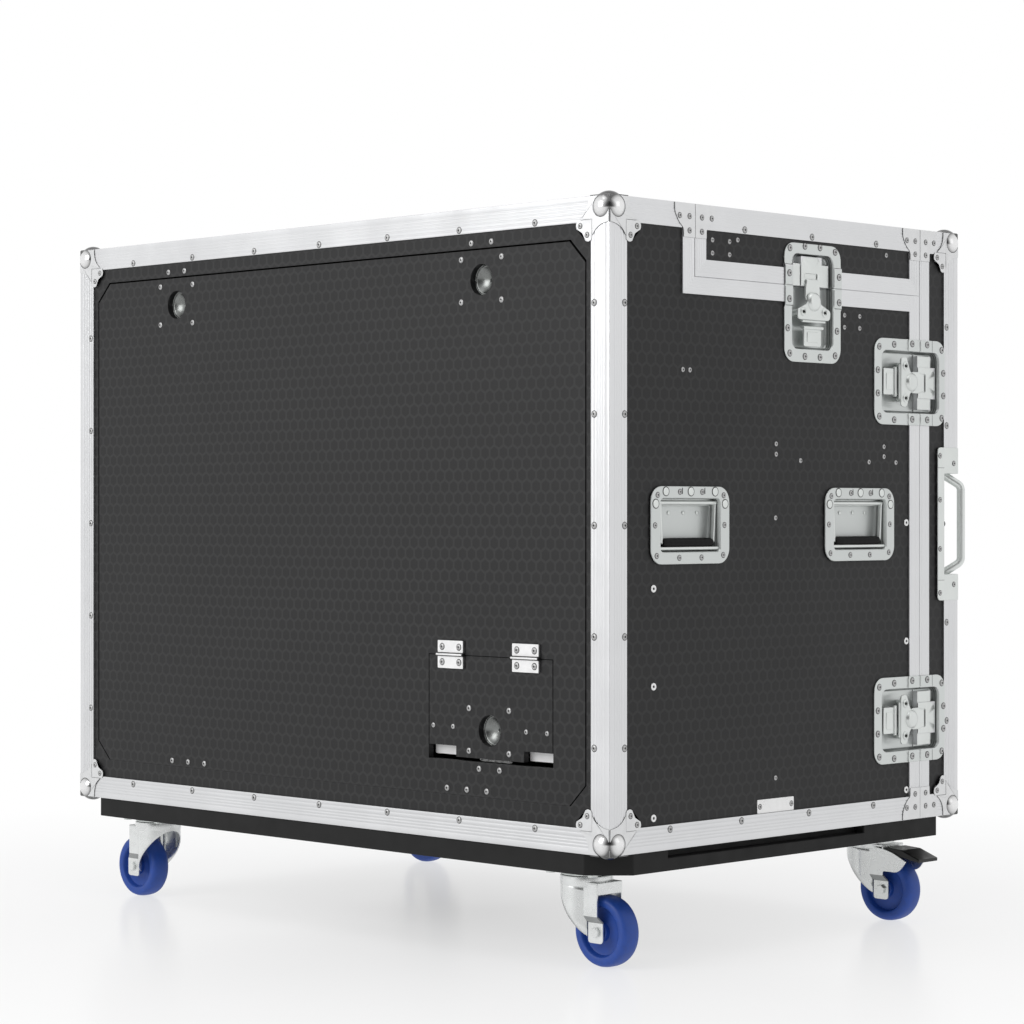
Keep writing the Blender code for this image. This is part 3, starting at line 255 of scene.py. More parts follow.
zinc = mottled("zinc_plate", (0.650, 0.675, 0.660), (0.700, 0.725, 0.710), (0.30, 0.38), metallic=0.80,
               grain=25, bump=0.02)
castor_zinc = mottled("castor_zinc", (0.70, 0.715, 0.71), (0.78, 0.795, 0.79), (0.24, 0.32), metallic=0.85,
                      grain=60, bump=0.03)
shaded_zinc = mottled("shaded_zinc", (0.30, 0.31, 0.31), (0.36, 0.37, 0.37), (0.40, 0.50), metallic=0.6,
                      grain=60, bump=0.02)
blue_rubber = mottled("blue_rubber", (0.008, 0.050, 0.28), (0.011, 0.062, 0.34), (0.45, 0.58),
                      grain=120, bump=0.06)
black_steel = mottled("black_steel", 0.012, 0.022, (0.30, 0.45), metallic=0.4, grain=80, bump=0.05)

WHEEL = [(0.0072, 0.0165), (0.0125, 0.0165), (0.0135, 0.0155), (0.0140, 0.0090), (0.0160, 0.0075),
         (0.0300, 0.0070), (0.0330, 0.0080), (0.0345, 0.0120), (0.0355, 0.0150), (0.0370, 0.0160),
         (0.0425, 0.0164), (0.0455, 0.0158), (0.0478, 0.0135), (0.0492, 0.0100), (0.0499, 0.0050),
         (0.0500, 0.0)]
RACE = [(0.0290, 0.1269), (0.0352, 0.1269), (0.0364, 0.1275), (0.0370, 0.1288), (0.0364, 0.1300),
        (0.0340, 0.1305), (0.0325, 0.1312), (0.0322, 0.1322), (0.0290, 0.1322)]
CUFF = [(0.0300, 0.1120), (0.0360, 0.1120), (0.0372, 0.1130), (0.0376, 0.1170), (0.0376, 0.1225),
        (0.0372, 0.1255), (0.0362, 0.1263), (0.0300, 0.1263)]
BOLT = [(0.0010, 0.0), (0.0066, 0.0), (0.0074, 0.0008), (0.0074, 0.0040), (0.0068, 0.0046),
        (0.0010, 0.0046)]
LEG = softened([(0.0140, 0.0715), (0.0440, 0.0715), (0.0440, 0.1172), (0.0140, 0.1172)],
               [0.0010, 0.0010, 0.0015, 0.0040], 5)
BRAKE_LEG = softened([(0.0110, 0.0715), (0.0435, 0.0715), (0.0440, 0.0785), (0.0700, 0.0785),
                      (0.0780, 0.0830), (0.0880, 0.0966), (0.0640, 0.1085), (0.0400, 0.1140),
                      (0.0110, 0.1160)],
                     [0.0010, 0.0010, 0.0030, 0.0040, 0.0040, 0.0015, 0.0100, 0.0080, 0.0040], 5)
TAB = softened([(0.0236, 0.0345), (0.0515, 0.0345), (0.0515, 0.0632), (0.0236, 0.0632)],
               [0.0050, 0.0060, 0.0010, 0.0010], 5)
JOGGLE = softened([(0.0150, -0.0004), (0.0435, -0.0004), (0.0510, 0.0098), (0.0240, 0.0098)], 0.0008, 3)
WEB = softened(both_sides([(0.0258, 0.1020), (0.0258, 0.1182)]), [0.0020, 0.0020, 0.0010, 0.0010], 3)
CROWN = softened([(-0.0100, -0.0345), (0.0100, -0.0345), (0.0300, -0.0258), (0.0440, -0.0258),
                  (0.0440, 0.0258), (0.0300, 0.0258), (0.0100, 0.0345), (-0.0100, 0.0345),
                  (-0.0345, 0.0100), (-0.0345, -0.0100)], 0.0010, 3)
SWIVEL_ACROSS, SWIVEL_ALONG = 0.487, 0.323
TRAIL, AXLE_LEVEL = 0.039, 0.050
BOLT_ACROSS, BOLT_ALONG, BOLT_LEVEL = 0.0405, 0.0305, 0.1322
SHEET = 0.0024
LEG_OUT, TAB_OUT = 0.0262, 0.0040
STEP_LEVEL, STEP_DROP = 0.0716, 0.0085
WEB_AHEAD, WEB_SHEET = 0.0424, 0.0022
CROWN_LOW, CROWN_HIGH = 0.1162, 0.1186
SHROUD_TURN, SHROUD_ROUND = 138, 84
SHROUD_RADIUS, SHROUD_DRAW_IN = 0.0368, 0.0072
SHROUD_CUT, SHROUD_SLOPE = 0.0685, 1.18
SHROUD_LOW, SHROUD_FRONT, SHROUD_TOP = 0.0385, 0.1120, 0.1180


def shroud():
    """The sheet round the front of the fork: a cylinder about the swivel that draws in towards the
    legs, cut off below along a slanting plane; in (forward, sideways, up)."""
    columns, rows = 65, 7
    turn, fall = np.meshgrid(np.radians(np.linspace(-SHROUD_TURN, SHROUD_TURN, columns)),
                             np.linspace(0, 1, rows), indexing="ij")
    past_round = (np.degrees(np.abs(turn)) - SHROUD_ROUND) / (SHROUD_TURN - SHROUD_ROUND)
    radius = SHROUD_RADIUS - SHROUD_DRAW_IN * np.clip(past_round, 0, 1) ** 1.5
    ahead, aside = radius * np.cos(turn), radius * np.sin(turn)
    low = np.clip(SHROUD_CUT + SHROUD_SLOPE * ahead, SHROUD_LOW, SHROUD_FRONT)
    points = np.stack([ahead, aside, SHROUD_TOP + (low - SHROUD_TOP) * fall], -1).reshape(-1, 3)
    return points, [grid(columns, rows)]


def rolling(axle):
    """A wheel with an open bore: the half section, mirrored, turned about the axle."""
    sides = 96
    section = WHEEL + [(radius, -height) for radius, height in WHEEL[-2::-1]]
    points, faces = at(turned(section, sides), axle, (1, 0, 0), (0, 0, 1), (0, 1, 0))
    near = np.arange(sides)
    far = near + sides * (len(section) - 1)
    bore = np.stack([near, np.roll(near, -1), np.roll(far, -1), far], -1)[:, ::-1]
    return points, [faces[0], bore]


for side, hand in (("left", -1), ("right", 1)):
    for end, depth in (("rear", -SWIVEL_ALONG), ("front", SWIVEL_ALONG)):
        castor = f"{end}_{side}_castor"
        swivel = np.array([hand * SWIVEL_ACROSS, depth, 0.0])
        axle = swivel + [hand * TRAIL, 0, AXLE_LEVEL]
        reach, up = (hand, 0, 0), (0, 0, 1)
        wheel = piece(f"wheel_{end}_{side}", rolling(axle), blue_rubber, f"{end}_{side}_wheel")
        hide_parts(f"castor_wheel_{end}_{side}")
        bolts = [at(turned(BOLT, 6), swivel + [a * BOLT_ACROSS, b * BOLT_ALONG, BOLT_LEVEL], out=(0, 0, -1))
                 for a in (-1, 1) for b in (-1, 1)]
        piece(f"race_{end}_{side}", together([at(turned(RACE, 64), swivel), *bolts]), zinc, "case")
        fork = [at(turned(CUFF, 64), swivel)]
        steps = []
        for out in (-1, 1):
            face = swivel + [0, out * LEG_OUT, 0]
            leg = plate(BRAKE_LEG if end == "front" else LEG, -SHEET, 0.0)
            tab = plate(TAB, -TAB_OUT - SHEET, -TAB_OUT)
            fork += [at(shape, face, reach, up, (0, out, 0)) for shape in (leg, tab)]
            slant = np.array([0, -out * TAB_OUT, -STEP_DROP])
            slant /= np.linalg.norm(slant)
            steps.append(at(plate(JOGGLE, -SHEET, 0.0), face + [0, 0, STEP_LEVEL], reach, slant,
                            np.cross(slant, (1, 0, 0)) * -out))
            fork.append(at(turned(BOLT, 6, 0.3), axle + [0, out * (LEG_OUT - TAB_OUT), 0], (1, 0, 0), up,
                           (0, out, 0)))
        fork.append(at(plate(WEB, 0.0, WEB_SHEET), swivel + [hand * WEB_AHEAD, 0, 0], (0, 1, 0), up, reach))
        fork.append(at(plate(CROWN, CROWN_LOW, CROWN_HIGH), swivel, reach))
        new_fork = piece(f"fork_{end}_{side}", together(fork), castor_zinc, castor)
        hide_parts(f"castor_fork_{end}_{side}")
        piece(f"fork_steps_{end}_{side}", together(steps), shaded_zinc, castor)
        piece(f"shroud_{end}_{side}", at(shroud(), swivel, (-hand, 0, 0)), castor_zinc, castor,
              sheet=0.0020)
        dress(zinc, f"castor_plate_{end}_{side}")
        ease(0.0007, f"castor_plate_{end}_{side}")
    dress(black_steel, f"brake_pedal_{side}")
    ease(0.0012, f"brake_pedal_{side}")


# Panels
# Birch plywood faced with black plastic film, printed and lightly embossed with small hexagons in
# rows 16 mm apart, each hexagon darker and smoother than the film between them.


def step_of(nodes, links, kind, first, second=None):
    """One step of a sum on single numbers; each side is a number or an earlier step."""
    node = nodes.new("ShaderNodeMath")
    node.operation = kind
    for socket, value in zip(node.inputs, (first, second)):
        if isinstance(value, (int, float)):
            socket.default_value = value
        elif value is not None:
            links.new(value, socket)
    return node.outputs[0]


def hexagon_film(name, base, cell, sheen):
    """The film: in the plane of each face, the distance to the nearest hexagon middle, measured
    square to a hexagon's sides, so that a limit on it draws hexagons."""
    material, nodes, links, surface = shader(name, base, 0.5, specular=0.30)
    where = nodes.new("ShaderNodeTexCoord")
    parts = nodes.new("ShaderNodeSeparateXYZ")
    facing = nodes.new("ShaderNodeSeparateXYZ")
    links.new(where.outputs["Object"], parts.inputs[0])
    links.new(where.outputs["Normal"], facing.inputs[0])

    def step(kind, first, second=None):
        """One step of the sum in this material."""
        return step_of(nodes, links, kind, first, second)

    def chosen(at_yes, at_no, question):
        """The first number where the question is answered by 1 and the second where by 0."""
        return step("ADD", step("MULTIPLY", at_yes, question),
                    step("MULTIPLY", at_no, step("SUBTRACT", 1.0, question)))

    x, y, z = parts.outputs
    squarely = 0.7
    on_side = step("GREATER_THAN", step("ABSOLUTE", facing.outputs[0]), squarely)
    on_top = step("GREATER_THAN", step("ABSOLUTE", facing.outputs[2]), squarely)
    run, rise = chosen(y, x, on_side), chosen(y, z, on_top)
    pitch, far_off, cosine = 0.0185, 5.0, 0.8660
    row = pitch * cosine

    def to_middle(shift):
        """How far a point is from the nearest middle of one of the two sets of staggered rows."""
        along = step("ADD", run, far_off + shift * pitch / 2)
        up = step("ADD", rise, far_off + shift * row)
        along = step("ABSOLUTE", step("SUBTRACT", step("MODULO", along, pitch), pitch / 2))
        up = step("ABSOLUTE", step("SUBTRACT", step("MODULO", up, row * 2), row))
        slant = step("ADD", step("MULTIPLY", along, 0.5), step("MULTIPLY", up, cosine))
        return step("MAXIMUM", along, slant)

    rim, full = 0.0080, 0.0068
    inside = ranged(nodes, links, step("MINIMUM", to_middle(0), to_middle(1)), (rim, full))
    wander = noise_of(nodes, links, where.outputs["Object"], 9.0)
    mix = nodes.new("ShaderNodeMix")
    mix.data_type = "RGBA"
    mix.inputs[6].default_value = rgba(base)
    mix.inputs[7].default_value = rgba(cell)
    links.new(inside, mix.inputs[0])
    links.new(mix.outputs[2], surface.inputs["Base Color"])
    gloss = step("ADD", step("MULTIPLY", inside, sheen[1] - sheen[0]),
                 step("ADD", step("MULTIPLY", wander, 0.10), sheen[0] - 0.05))
    links.new(gloss, surface.inputs["Roughness"])
    add_bump(nodes, links, surface, inside, 0.20, 0.0002)
    return material


film = hexagon_film("black_film", (0.0230, 0.0230, 0.0235), (0.0100, 0.0100, 0.0105), (0.56, 0.50))
dress(film, "side_panel_left", "side_panel_right", "bottom_panel", "fixed_top_panel", "door_frame",
      "lid_panel", "cover_panel", "door_panel", "hatch_flap")


# Edge extrusions
# Aluminium angle, 35 mm on each leg and ribbed along its length, riveted over every edge of the
# ply, with flat ribbed strips 24 mm wide on both sides of the seams of lid and cover.

WIDE, DEEP, LOW, HIGH = 0.600, 0.397, 0.1655, 1.0685
COVER, LID, REAR = 0.299, 0.9665, -0.222
GAP = 0.0002
FLANGE, STRIP = 0.035, 0.0243
PROUD = 0.00022
NOSE = 0.0007
SKIN = 0.0012
LATCH_BREAK = 0.056
RIBS = (0.0088, 0.0135, 0.0180, 0.0225, 0.0290)
STRIP_RIBS = (0.0060, 0.0105, 0.0150, 0.0195)


def leg(width, ribs):
    """One leg in section, from its free rim to the corner: (distance from the edge, height), with a
    shallow groove at each rib line and a rounded rim."""
    middles = np.array(sorted(ribs, reverse=True))
    groove = np.array([[0.0009, 0], [0.0004, -0.00030], [-0.0004, -0.00030], [-0.0009, 0]])
    lines = (middles[:, None, None] * [1, 0] + groove).reshape(-1, 2)
    rim = np.array([[width, -SKIN], [width, -0.0004], [width - 0.0006, 0]])
    return np.concatenate([rim, lines]) + [0, PROUD]


def ribbed(start, end, first, second, widths, ribs, mitres=(0, 0, 0, 0)):
    """An extrusion between two points of an edge. Its section runs in along the first direction on
    one face and in along the second on the other, with a small round between; a width of nothing
    leaves the second leg out. Each end of each leg is cut back by its mitre times the distance from
    the edge, so that 1 is 45 degrees."""
    start, end, first, second = (np.asarray(v, float) for v in (start, end, first, second))
    run = (end - start) / np.linalg.norm(end - start)
    reach, height = leg(widths[0], ribs).T
    section = [np.stack([reach, -height], -1)]
    if widths[1]:
        turn = -np.pi / 2 - np.linspace(0, np.pi / 2, 5)
        section.append(NOSE - PROUD + NOSE * np.stack([np.cos(turn), np.sin(turn)], -1))
        reach, height = leg(widths[1], ribs)[::-1].T
        section.append(np.stack([-height, reach], -1))
        section.append(np.full((1, 2), SKIN))
    else:
        section.append(np.array([[0.0005, -PROUD], [0.0, 0.0002], [0.0, SKIN]]))
    section = np.concatenate(section)
    reach = np.maximum(section.max(1), 0)
    on_first = section[:, 0] >= section[:, 1]
    low = np.where(on_first, mitres[0], mitres[2]) * reach
    high = np.where(on_first, mitres[1], mitres[3]) * reach
    across = section[:, :1] * first + section[:, 1:] * second
    rings = np.stack([start + across + low[:, None] * run, end + across - high[:, None] * run])
    count = len(section)
    ends = np.stack([np.arange(count)[::-1], np.arange(count) + count])
    return rings.reshape(-1, 3), [grid(2, count, around=True), ends]


def strip(start, end, away, inward, mitres=(0, 0), gaps=()):
    """A flat ribbed strip along a seam, broken where latches are let in."""
    start, end = np.asarray(start, float), np.asarray(end, float)
    axis = int(np.argmax(np.abs(end - start)))
    cuts = sorted(gap + half for gap in gaps for half in (-LATCH_BREAK, LATCH_BREAK))
    levels = [start[axis], *cuts, end[axis]]
    found = []
    for step in range(0, len(levels), 2):
        low, high = start.copy(), end.copy()
        low[axis], high[axis] = levels[step], levels[step + 1]
        cut = (mitres[0] * (step == 0), mitres[1] * (step == len(levels) - 2), 0, 0)
        found.append(ribbed(low, high, away, inward, (STRIP, 0), STRIP_RIBS, cut))
    return found


LID_LATCH = 0.041
COVER_LATCHES = (0.8336, 0.3190)
HANDLE_CUT_LOW, HANDLE_CUT_HIGH = 0.5385, 0.6957
aluminium = mottled("aluminium", (0.665, 0.670, 0.680), (0.705, 0.710, 0.720), (0.30, 0.40), metallic=0.80,
                    grain=14, bump=0.03)
dress(aluminium, "body_edge_frame", "lid_edge_frame", "cover_edge_frame")
edges = {"case": [], "lid": [], "cover": []}


def edge(body, start, end, first, second, low=0, high=0):
    """Adds a full extrusion to a body, both legs mitred by the same share at each end."""
    edges[body].append(ribbed(start, end, first, second, (FLANGE, FLANGE), RIBS, (low, high, low, high)))


down, up = (0, 0, -1), (0, 0, 1)
ahead, astern = (0, 1, 0), (0, -1, 0)
for level, rise in ((LOW, up), (HIGH, down)):
    edge("case", (-WIDE, -DEEP, level), (WIDE, -DEEP, level), rise, ahead, 1, 1)
    edge("cover", (-WIDE, DEEP, level), (WIDE, DEEP, level), rise, astern, 1, 1)
for hand in (-1, 1):
    x, inward = hand * WIDE, (-hand, 0, 0)
    under, over = LID - GAP, LID + GAP
    before_lid, lid_start, lid_end, cover_start = REAR - GAP, REAR + GAP, COVER - GAP, COVER + GAP
    edge("case", (x, -DEEP, LOW), (x, -DEEP, HIGH), inward, ahead, 1, 1)
    edge("case", (x, -DEEP, LOW), (x, lid_end, LOW), up, inward, 1)
    edge("case", (x, -DEEP, HIGH), (x, before_lid, HIGH), down, inward, 1)
    edges["case"] += strip((x, before_lid, under), (x, before_lid, HIGH - FLANGE), astern, inward, (-1, 0))
    edges["case"] += strip((x, before_lid, under), (x, lid_end - STRIP, under), down, inward, (-1, 0),
                           (LID_LATCH,))
    edges["case"] += strip((x, lid_end, LOW + FLANGE), (x, lid_end, under), astern, inward,
                           gaps=COVER_LATCHES)
    edge("lid", (x, lid_start, HIGH), (x, lid_end, HIGH), down, inward)
    edges["lid"] += strip((x, lid_start, over), (x, lid_start, HIGH - FLANGE), ahead, inward, (1, 0))
    edges["lid"] += strip((x, lid_start, over), (x, lid_end, over), up, inward, (1, 1), (LID_LATCH,))
    edges["lid"] += strip((x, lid_end, over), (x, lid_end, HIGH - FLANGE), astern, inward, (1, 0))
    edge("cover", (x, DEEP, LOW), (x, DEEP, HANDLE_CUT_LOW), inward, astern, 1, 0)
    edge("cover", (x, DEEP, HANDLE_CUT_HIGH), (x, DEEP, HIGH), inward, astern, 0, 1)
    for level, rise in ((LOW, up), (HIGH, down)):
        edge("cover", (x, cover_start, level), (x, DEEP, level), rise, inward, 0, 1)
    edges["cover"] += strip((x, cover_start, LOW + FLANGE), (x, cover_start, HIGH - FLANGE), ahead, inward,
                            gaps=COVER_LATCHES)
left, right = -WIDE + FLANGE, WIDE - FLANGE
for body, seam, away in (("case", REAR - GAP, astern), ("lid", REAR + GAP, ahead),
                         ("lid", COVER - GAP, astern), ("cover", COVER + GAP, ahead)):
    edges[body] += strip((left, seam, HIGH), (right, seam, HIGH), away, down)
piece("body_extrusions", together(edges["case"]), aluminium, "case")
piece("lid_extrusions", together(edges["lid"]), aluminium, "lid")
piece("cover_extrusions", together(edges["cover"]), aluminium, "cover")


# Ball corners and seam brackets
# Each outer corner has a pressed zinc ball over three ears, riveted to the three faces; flat
# T-shaped brackets, riveted too, close the seams at the top and the bottom edge.

RIVET = [(0.0045, -0.0003), (0.0045, 0.0002), (0.0041, 0.0007), (0.0030, 0.0012), (0.0018, 0.0014),
         (0.0014, 0.0012), (0.0012, 0.0006)]
rivet_steel = mottled("rivet_steel", 0.34, 0.50, (0.30, 0.50), metallic=0.8, grain=400, bump=0.05)
# Dark discs: the screws in the washers, and painted shade in the hole of each rivet's broken pin, in a ring
# round each rivet head and each handle dome, and in the handles' slits.
dark_steel_and_painted_shade = mottled("dark_steel_and_painted_shade", 0.020, 0.050, (0.5, 0.7), metallic=0.3, grain=400, bump=0.05)
# A dark zinc used as painted shade: on the walls of the ears and brackets as the dark outline of their
# shadow, on fold lines and in the wedges under the balls.
painted_shade_zinc = mottled("painted_shade_zinc", 0.10, 0.17, (0.45, 0.60), metallic=0.6, grain=200, bump=0.05)
PIN = [(0.0016, 0.0), (0.0016, 0.00145), (0.0006, 0.00155)]
RIM = [(0.0052, -0.0003), (0.0052, 0.0001), (0.0044, 0.00025)]
rivets = {body: ([], []) for body in ("case", "lid", "cover", "door", "hatch")}


def rivet(body, spots, out, small=False):
    """Rivets that ride on a body, all facing one way: a domed head, a dark disc painted in the hole of
    its broken pin as its shade, and a dark ring painted round its rim as its shadow."""
    out = np.array(out, float)
    across = np.array((0, 1, 0) if abs(out[0]) > 0.5 else (1, 0, 0), float)
    axes = (across, np.cross(out, across), out)
    size = 0.82 if small else 1.0
    heads, pins = rivets[body]
    for spot in spots:
        heads.append(at(turned(np.array(RIVET) * size, 12), spot, *axes))
        pins.append(at(turned(np.array(PIN) * size, 8), spot, *axes))
        pins.append(at(turned(np.array(RIM) * size, 16), spot, *axes))


BALL_RADIUS, BALL_INSET, SPREAD = 0.0221, 0.0150, 0.0003
BALL = [(BALL_RADIUS * np.sin(turn), BALL_RADIUS * np.cos(turn))
        for turn in np.linspace(np.pi - 0.05, 0.05, 28)]
BALL_RIM = np.radians(np.linspace(138, -48, 17))
CAP = softened([(0.0205, 0.0002), (0.0385, 0.0002), (0.0390, 0.0130), (0.0445, 0.0240),
                (0.0545, 0.0318), (0.0318, 0.0318), (0.0318, 0.0545), (0.0240, 0.0445),
                (0.0130, 0.0390), (0.0002, 0.0370), (0.0002, 0.0205)],
               [0.0005, 0.001, 0.006, 0.006, 0.001, 0.001, 0.001, 0.006, 0.006, 0.001, 0.0005], 4)
CAP = np.concatenate([BALL_INSET + BALL_INSET * np.stack([np.cos(BALL_RIM), np.sin(BALL_RIM)], -1), CAP])
CAP = np.maximum(CAP, 0.0002)
EAR = softened([(0.0322, 0.0322), (0.0595, 0.0322), (0.0640, 0.0400), (0.0580, 0.0480), (0.0500, 0.0500),
                (0.0480, 0.0580), (0.0400, 0.0640), (0.0322, 0.0595)],
               [0.001, 0.002, 0.006, 0.005, 0.002, 0.005, 0.006, 0.002], 5)
corner_zinc = mottled("corner_zinc", (0.66, 0.665, 0.67), (0.71, 0.715, 0.72), (0.30, 0.38), metallic=0.75,
                      grain=70, bump=0.02)


def ball_painted_light():
    """Drawn zinc with painted highlights and painted shade: bright where the ball bulges to the two sides of
    the case and dark in the fold between them and under the top; the colour follows how far the surface
    turns to X or to Y."""
    material, nodes, links, surface = shader("ball_zinc", 0.6, 0.16, 0.9)
    parts = nodes.new("ShaderNodeSeparateXYZ")
    links.new(nodes.new("ShaderNodeTexCoord").outputs["Normal"], parts.inputs[0])
    side = step_of(nodes, links, "ABSOLUTE", parts.outputs[0])
    end = step_of(nodes, links, "ABSOLUTE", parts.outputs[1])
    most = step_of(nodes, links, "MAXIMUM", side, end)
    # Painted light: dark stops for the shade in the fold, light stops for the reflections on the lobes.
    painted_light_tones = ((0.50, 0.10), (0.72, 0.16), (0.86, 0.66), (0.97, 0.80))
    links.new(graded(nodes, links, most, painted_light_tones), surface.inputs["Base Color"])
    return material


EAR_RIVETS = ((0.0540, 0.0400), (0.0410, 0.0530))
NAIL_PROUD = 0.0014
# Small dark wedges in each face's corner under the ball: painted shade of the ball.
CORNER_SHADE_WEDGE = softened([(0.0001, 0.0001), (0.0105, 0.0001), (0.0065, 0.0065), (0.0001, 0.0105)], 0.0008, 3)
ball_painted_reflections = ball_painted_light()
for depth, body in ((-1, "case"), (1, "cover")):
    balls, ears, points = [], [], []
    for hand in (-1, 1):
        for level, up in ((LOW, 1), (HIGH, -1)):
            spot = np.array([hand * WIDE, depth * DEEP, level])
            inner = np.array([-hand, -depth, up], float)
            balls.append(at(turned(BALL, 48), spot + BALL_INSET * inner))
            for face in range(3):
                axes = np.eye(3) * inner
                first, second = [axes[other] for other in range(3) if other != face]
                if face == 2:
                    first, second = second, first
                out = -axes[face]
                cap, ear = plate(CAP, 0.0, 0.0012, 0.0003), plate(EAR, 0.0, 0.0010, 0.0003)
                ears += [at(shape, spot + SPREAD * out, first, second, out) for shape in (cap, ear)]
                point = plate(CORNER_SHADE_WEDGE, 0.0, 0.0006, 0.0002)
                points.append(at(point, spot + 0.00025 * out, first, second, out))
                nails = [spot + first * a + second * b + out * NAIL_PROUD for a, b in EAR_RIVETS]
                rivet(body, nails, out, True)
    piece(f"corner_painted_shade_{body}", together(points), painted_shade_zinc, body)
    piece(f"corner_balls_{body}", together(balls), ball_painted_reflections, body)
    piece(f"corner_ears_{body}", together(ears), corner_zinc, body, edges=painted_shade_zinc)

TEE_LOW, TEE_HIGH = 0.0002, 0.0480
TEE = softened(both_sides([(0.0430, TEE_LOW), (0.0430, 0.0120), (0.0340, 0.0275), (0.0243, 0.0350),
                           (0.0243, TEE_HIGH)]),
               [0.0006, 0.0006, 0.006, 0.006, 0.004, 0.0015, 0.0015, 0.004, 0.006, 0.006], 4)
TEE_RIVETS = ((-0.0330, 0.0185), (-0.0123, 0.0185), (0.0141, 0.0185), (0.0349, 0.0185), (-0.0123, 0.0385),
              (0.0141, 0.0385))


def half_tee(keep):
    """The part of a seam bracket on one side of its seam, in (along the case, in from the edge)."""
    outline = TEE[TEE[:, 0] * keep > 0.0003]
    turn = np.argmax(np.abs(np.roll(outline, 1, 0)[:, 1] - outline[:, 1]))
    outline = np.roll(outline, -turn, 0)
    seam = keep * GAP
    ends = sorted((TEE_LOW, TEE_HIGH), key=lambda v: abs(v - outline[-1, 1]))
    return np.concatenate([outline, [[seam, ends[0]], [seam, ends[1]]]])


brackets = {"case": [], "lid": [], "cover": []}
for hand in (-1, 1):
    out = np.array([hand, 0, 0], float)
    for seam, level, up, behind, ahead in ((REAR, HIGH, -1, "case", "lid"),
                                           (COVER, HIGH, -1, "lid", "cover"),
                                           (COVER, LOW, 1, "case", "cover")):
        spot = np.array([hand * (WIDE + SPREAD), seam, level])
        for keep, body in ((-1, behind), (1, ahead)):
            half = plate(half_tee(keep), 0.0, 0.0012, 0.0004)
            brackets[body].append(at(half, spot, (0, 1, 0), (0, 0, up), out))
            nails = [spot + [0, a, up * b] + out * NAIL_PROUD for a, b in TEE_RIVETS if a * keep > 0]
            rivet(body, nails, out, True)
for body, shapes in brackets.items():
    piece(f"seam_brackets_{body}", together(shapes), corner_zinc, body, edges=painted_shade_zinc)


# Rivets along the extrusions
# Blind rivets with domed steel heads, each with the small hole of its broken pin; along the
# extrusions they stand about 152.5 mm apart.

pitch = 0.1525
IN_FROM_EDGE = 0.0286
BOTTOM_ROW, TOP_ROW, MIDDLE = 0.1936, 1.0393, 0.617
for steps in np.arange(-3, 4):
    for level in (BOTTOM_ROW, TOP_ROW):
        rivet("case", [(steps * pitch, -DEEP - PROUD, level)], (0, -1, 0))
        rivet("cover", [(steps * pitch, DEEP + PROUD, level)], (0, 1, 0))
    rivet("case", [(steps * pitch, -DEEP + IN_FROM_EDGE, HIGH + PROUD)], (0, 0, 1))
    rivet("cover", [(steps * pitch, DEEP - IN_FROM_EDGE, HIGH + PROUD)], (0, 0, 1))
for hand in (-1, 1):
    x, out = hand * (WIDE + PROUD), (hand, 0, 0)
    for level in MIDDLE + pitch * np.arange(-2, 3):
        rivet("case", [(hand * 0.5715, -DEEP - PROUD, level)], (0, -1, 0))
        rivet("case", [(x, -0.367, level)], out)
        rivet("cover", [(hand * 0.5715, DEEP + PROUD, level)], (0, 1, 0))
        if abs(level - MIDDLE) > 0.12:
            rivet("cover", [(x, 0.3686, level)], out)
    for depth in (-0.1136, 0.0386, 0.1914):
        rivet("lid", [(x, depth, TOP_ROW)], out)
        rivet("lid", [(hand * (WIDE - IN_FROM_EDGE), depth, HIGH + PROUD)], (0, 0, 1))
    for depth in (-0.2736, -0.1207, 0.0314, 0.1843):
        rivet("case", [(x, depth, 0.1940)], out)
    rivet("case", [(hand * (WIDE - IN_FROM_EDGE), -0.300, HIGH + PROUD)], (0, 0, 1))


# Recessed latches
# Stamped zinc dishes let into the seams, one half on the body and the keeper half on the lid or the
# cover, each with a rolled flange, a stepped rim over the extrusions and rivets all round.


def carried(ring_of, section):
    """A section carried along an open outline: each point of the section is a (reach, height), and
    the ring there is the outline at that reach, at that height or at the height found for it."""
    rings = []
    for reach, height in section:
        ring = ring_of(reach)
        level = np.full(len(ring), height) if np.isscalar(height) else height(ring)
        rings.append(np.column_stack([ring, level]))
    return np.concatenate(rings), grid(len(rings), len(rings[0]))


def round_rect(left, low, right, high, radius, steps=6):
    """A rectangle with quarter-circle corners, counter-clockwise from its lower left corner."""
    turn = np.linspace(0, np.pi / 2, steps + 1)
    found = []
    for corner, (a, b) in enumerate(((left + radius, low + radius), (right - radius, low + radius),
                                     (right - radius, high - radius), (left + radius, high - radius))):
        angle = turn + np.pi + corner * np.pi / 2
        found.append(np.stack([a + radius * np.cos(angle), b + radius * np.sin(angle)], -1))
    return np.concatenate(found)


def clip_along(outline, level, keep):
    """The part of a closed outline on one side of a level, with its ends brought onto the level."""
    side = (outline[:, 1] - level) * keep > 1e-9
    first = int(np.argmax(side & ~np.roll(side, 1)))
    turned_round = np.roll(outline, -first, 0)
    count = int(side.sum())
    inside = turned_round[:count]
    before, after = turned_round[-1], turned_round[count % len(turned_round)]

    def crossing(a, b):
        share = (level - a[1]) / (b[1] - a[1])
        return a + share * (b - a)

    return np.concatenate([[crossing(before, inside[0])], inside, [crossing(inside[-1], after)]])


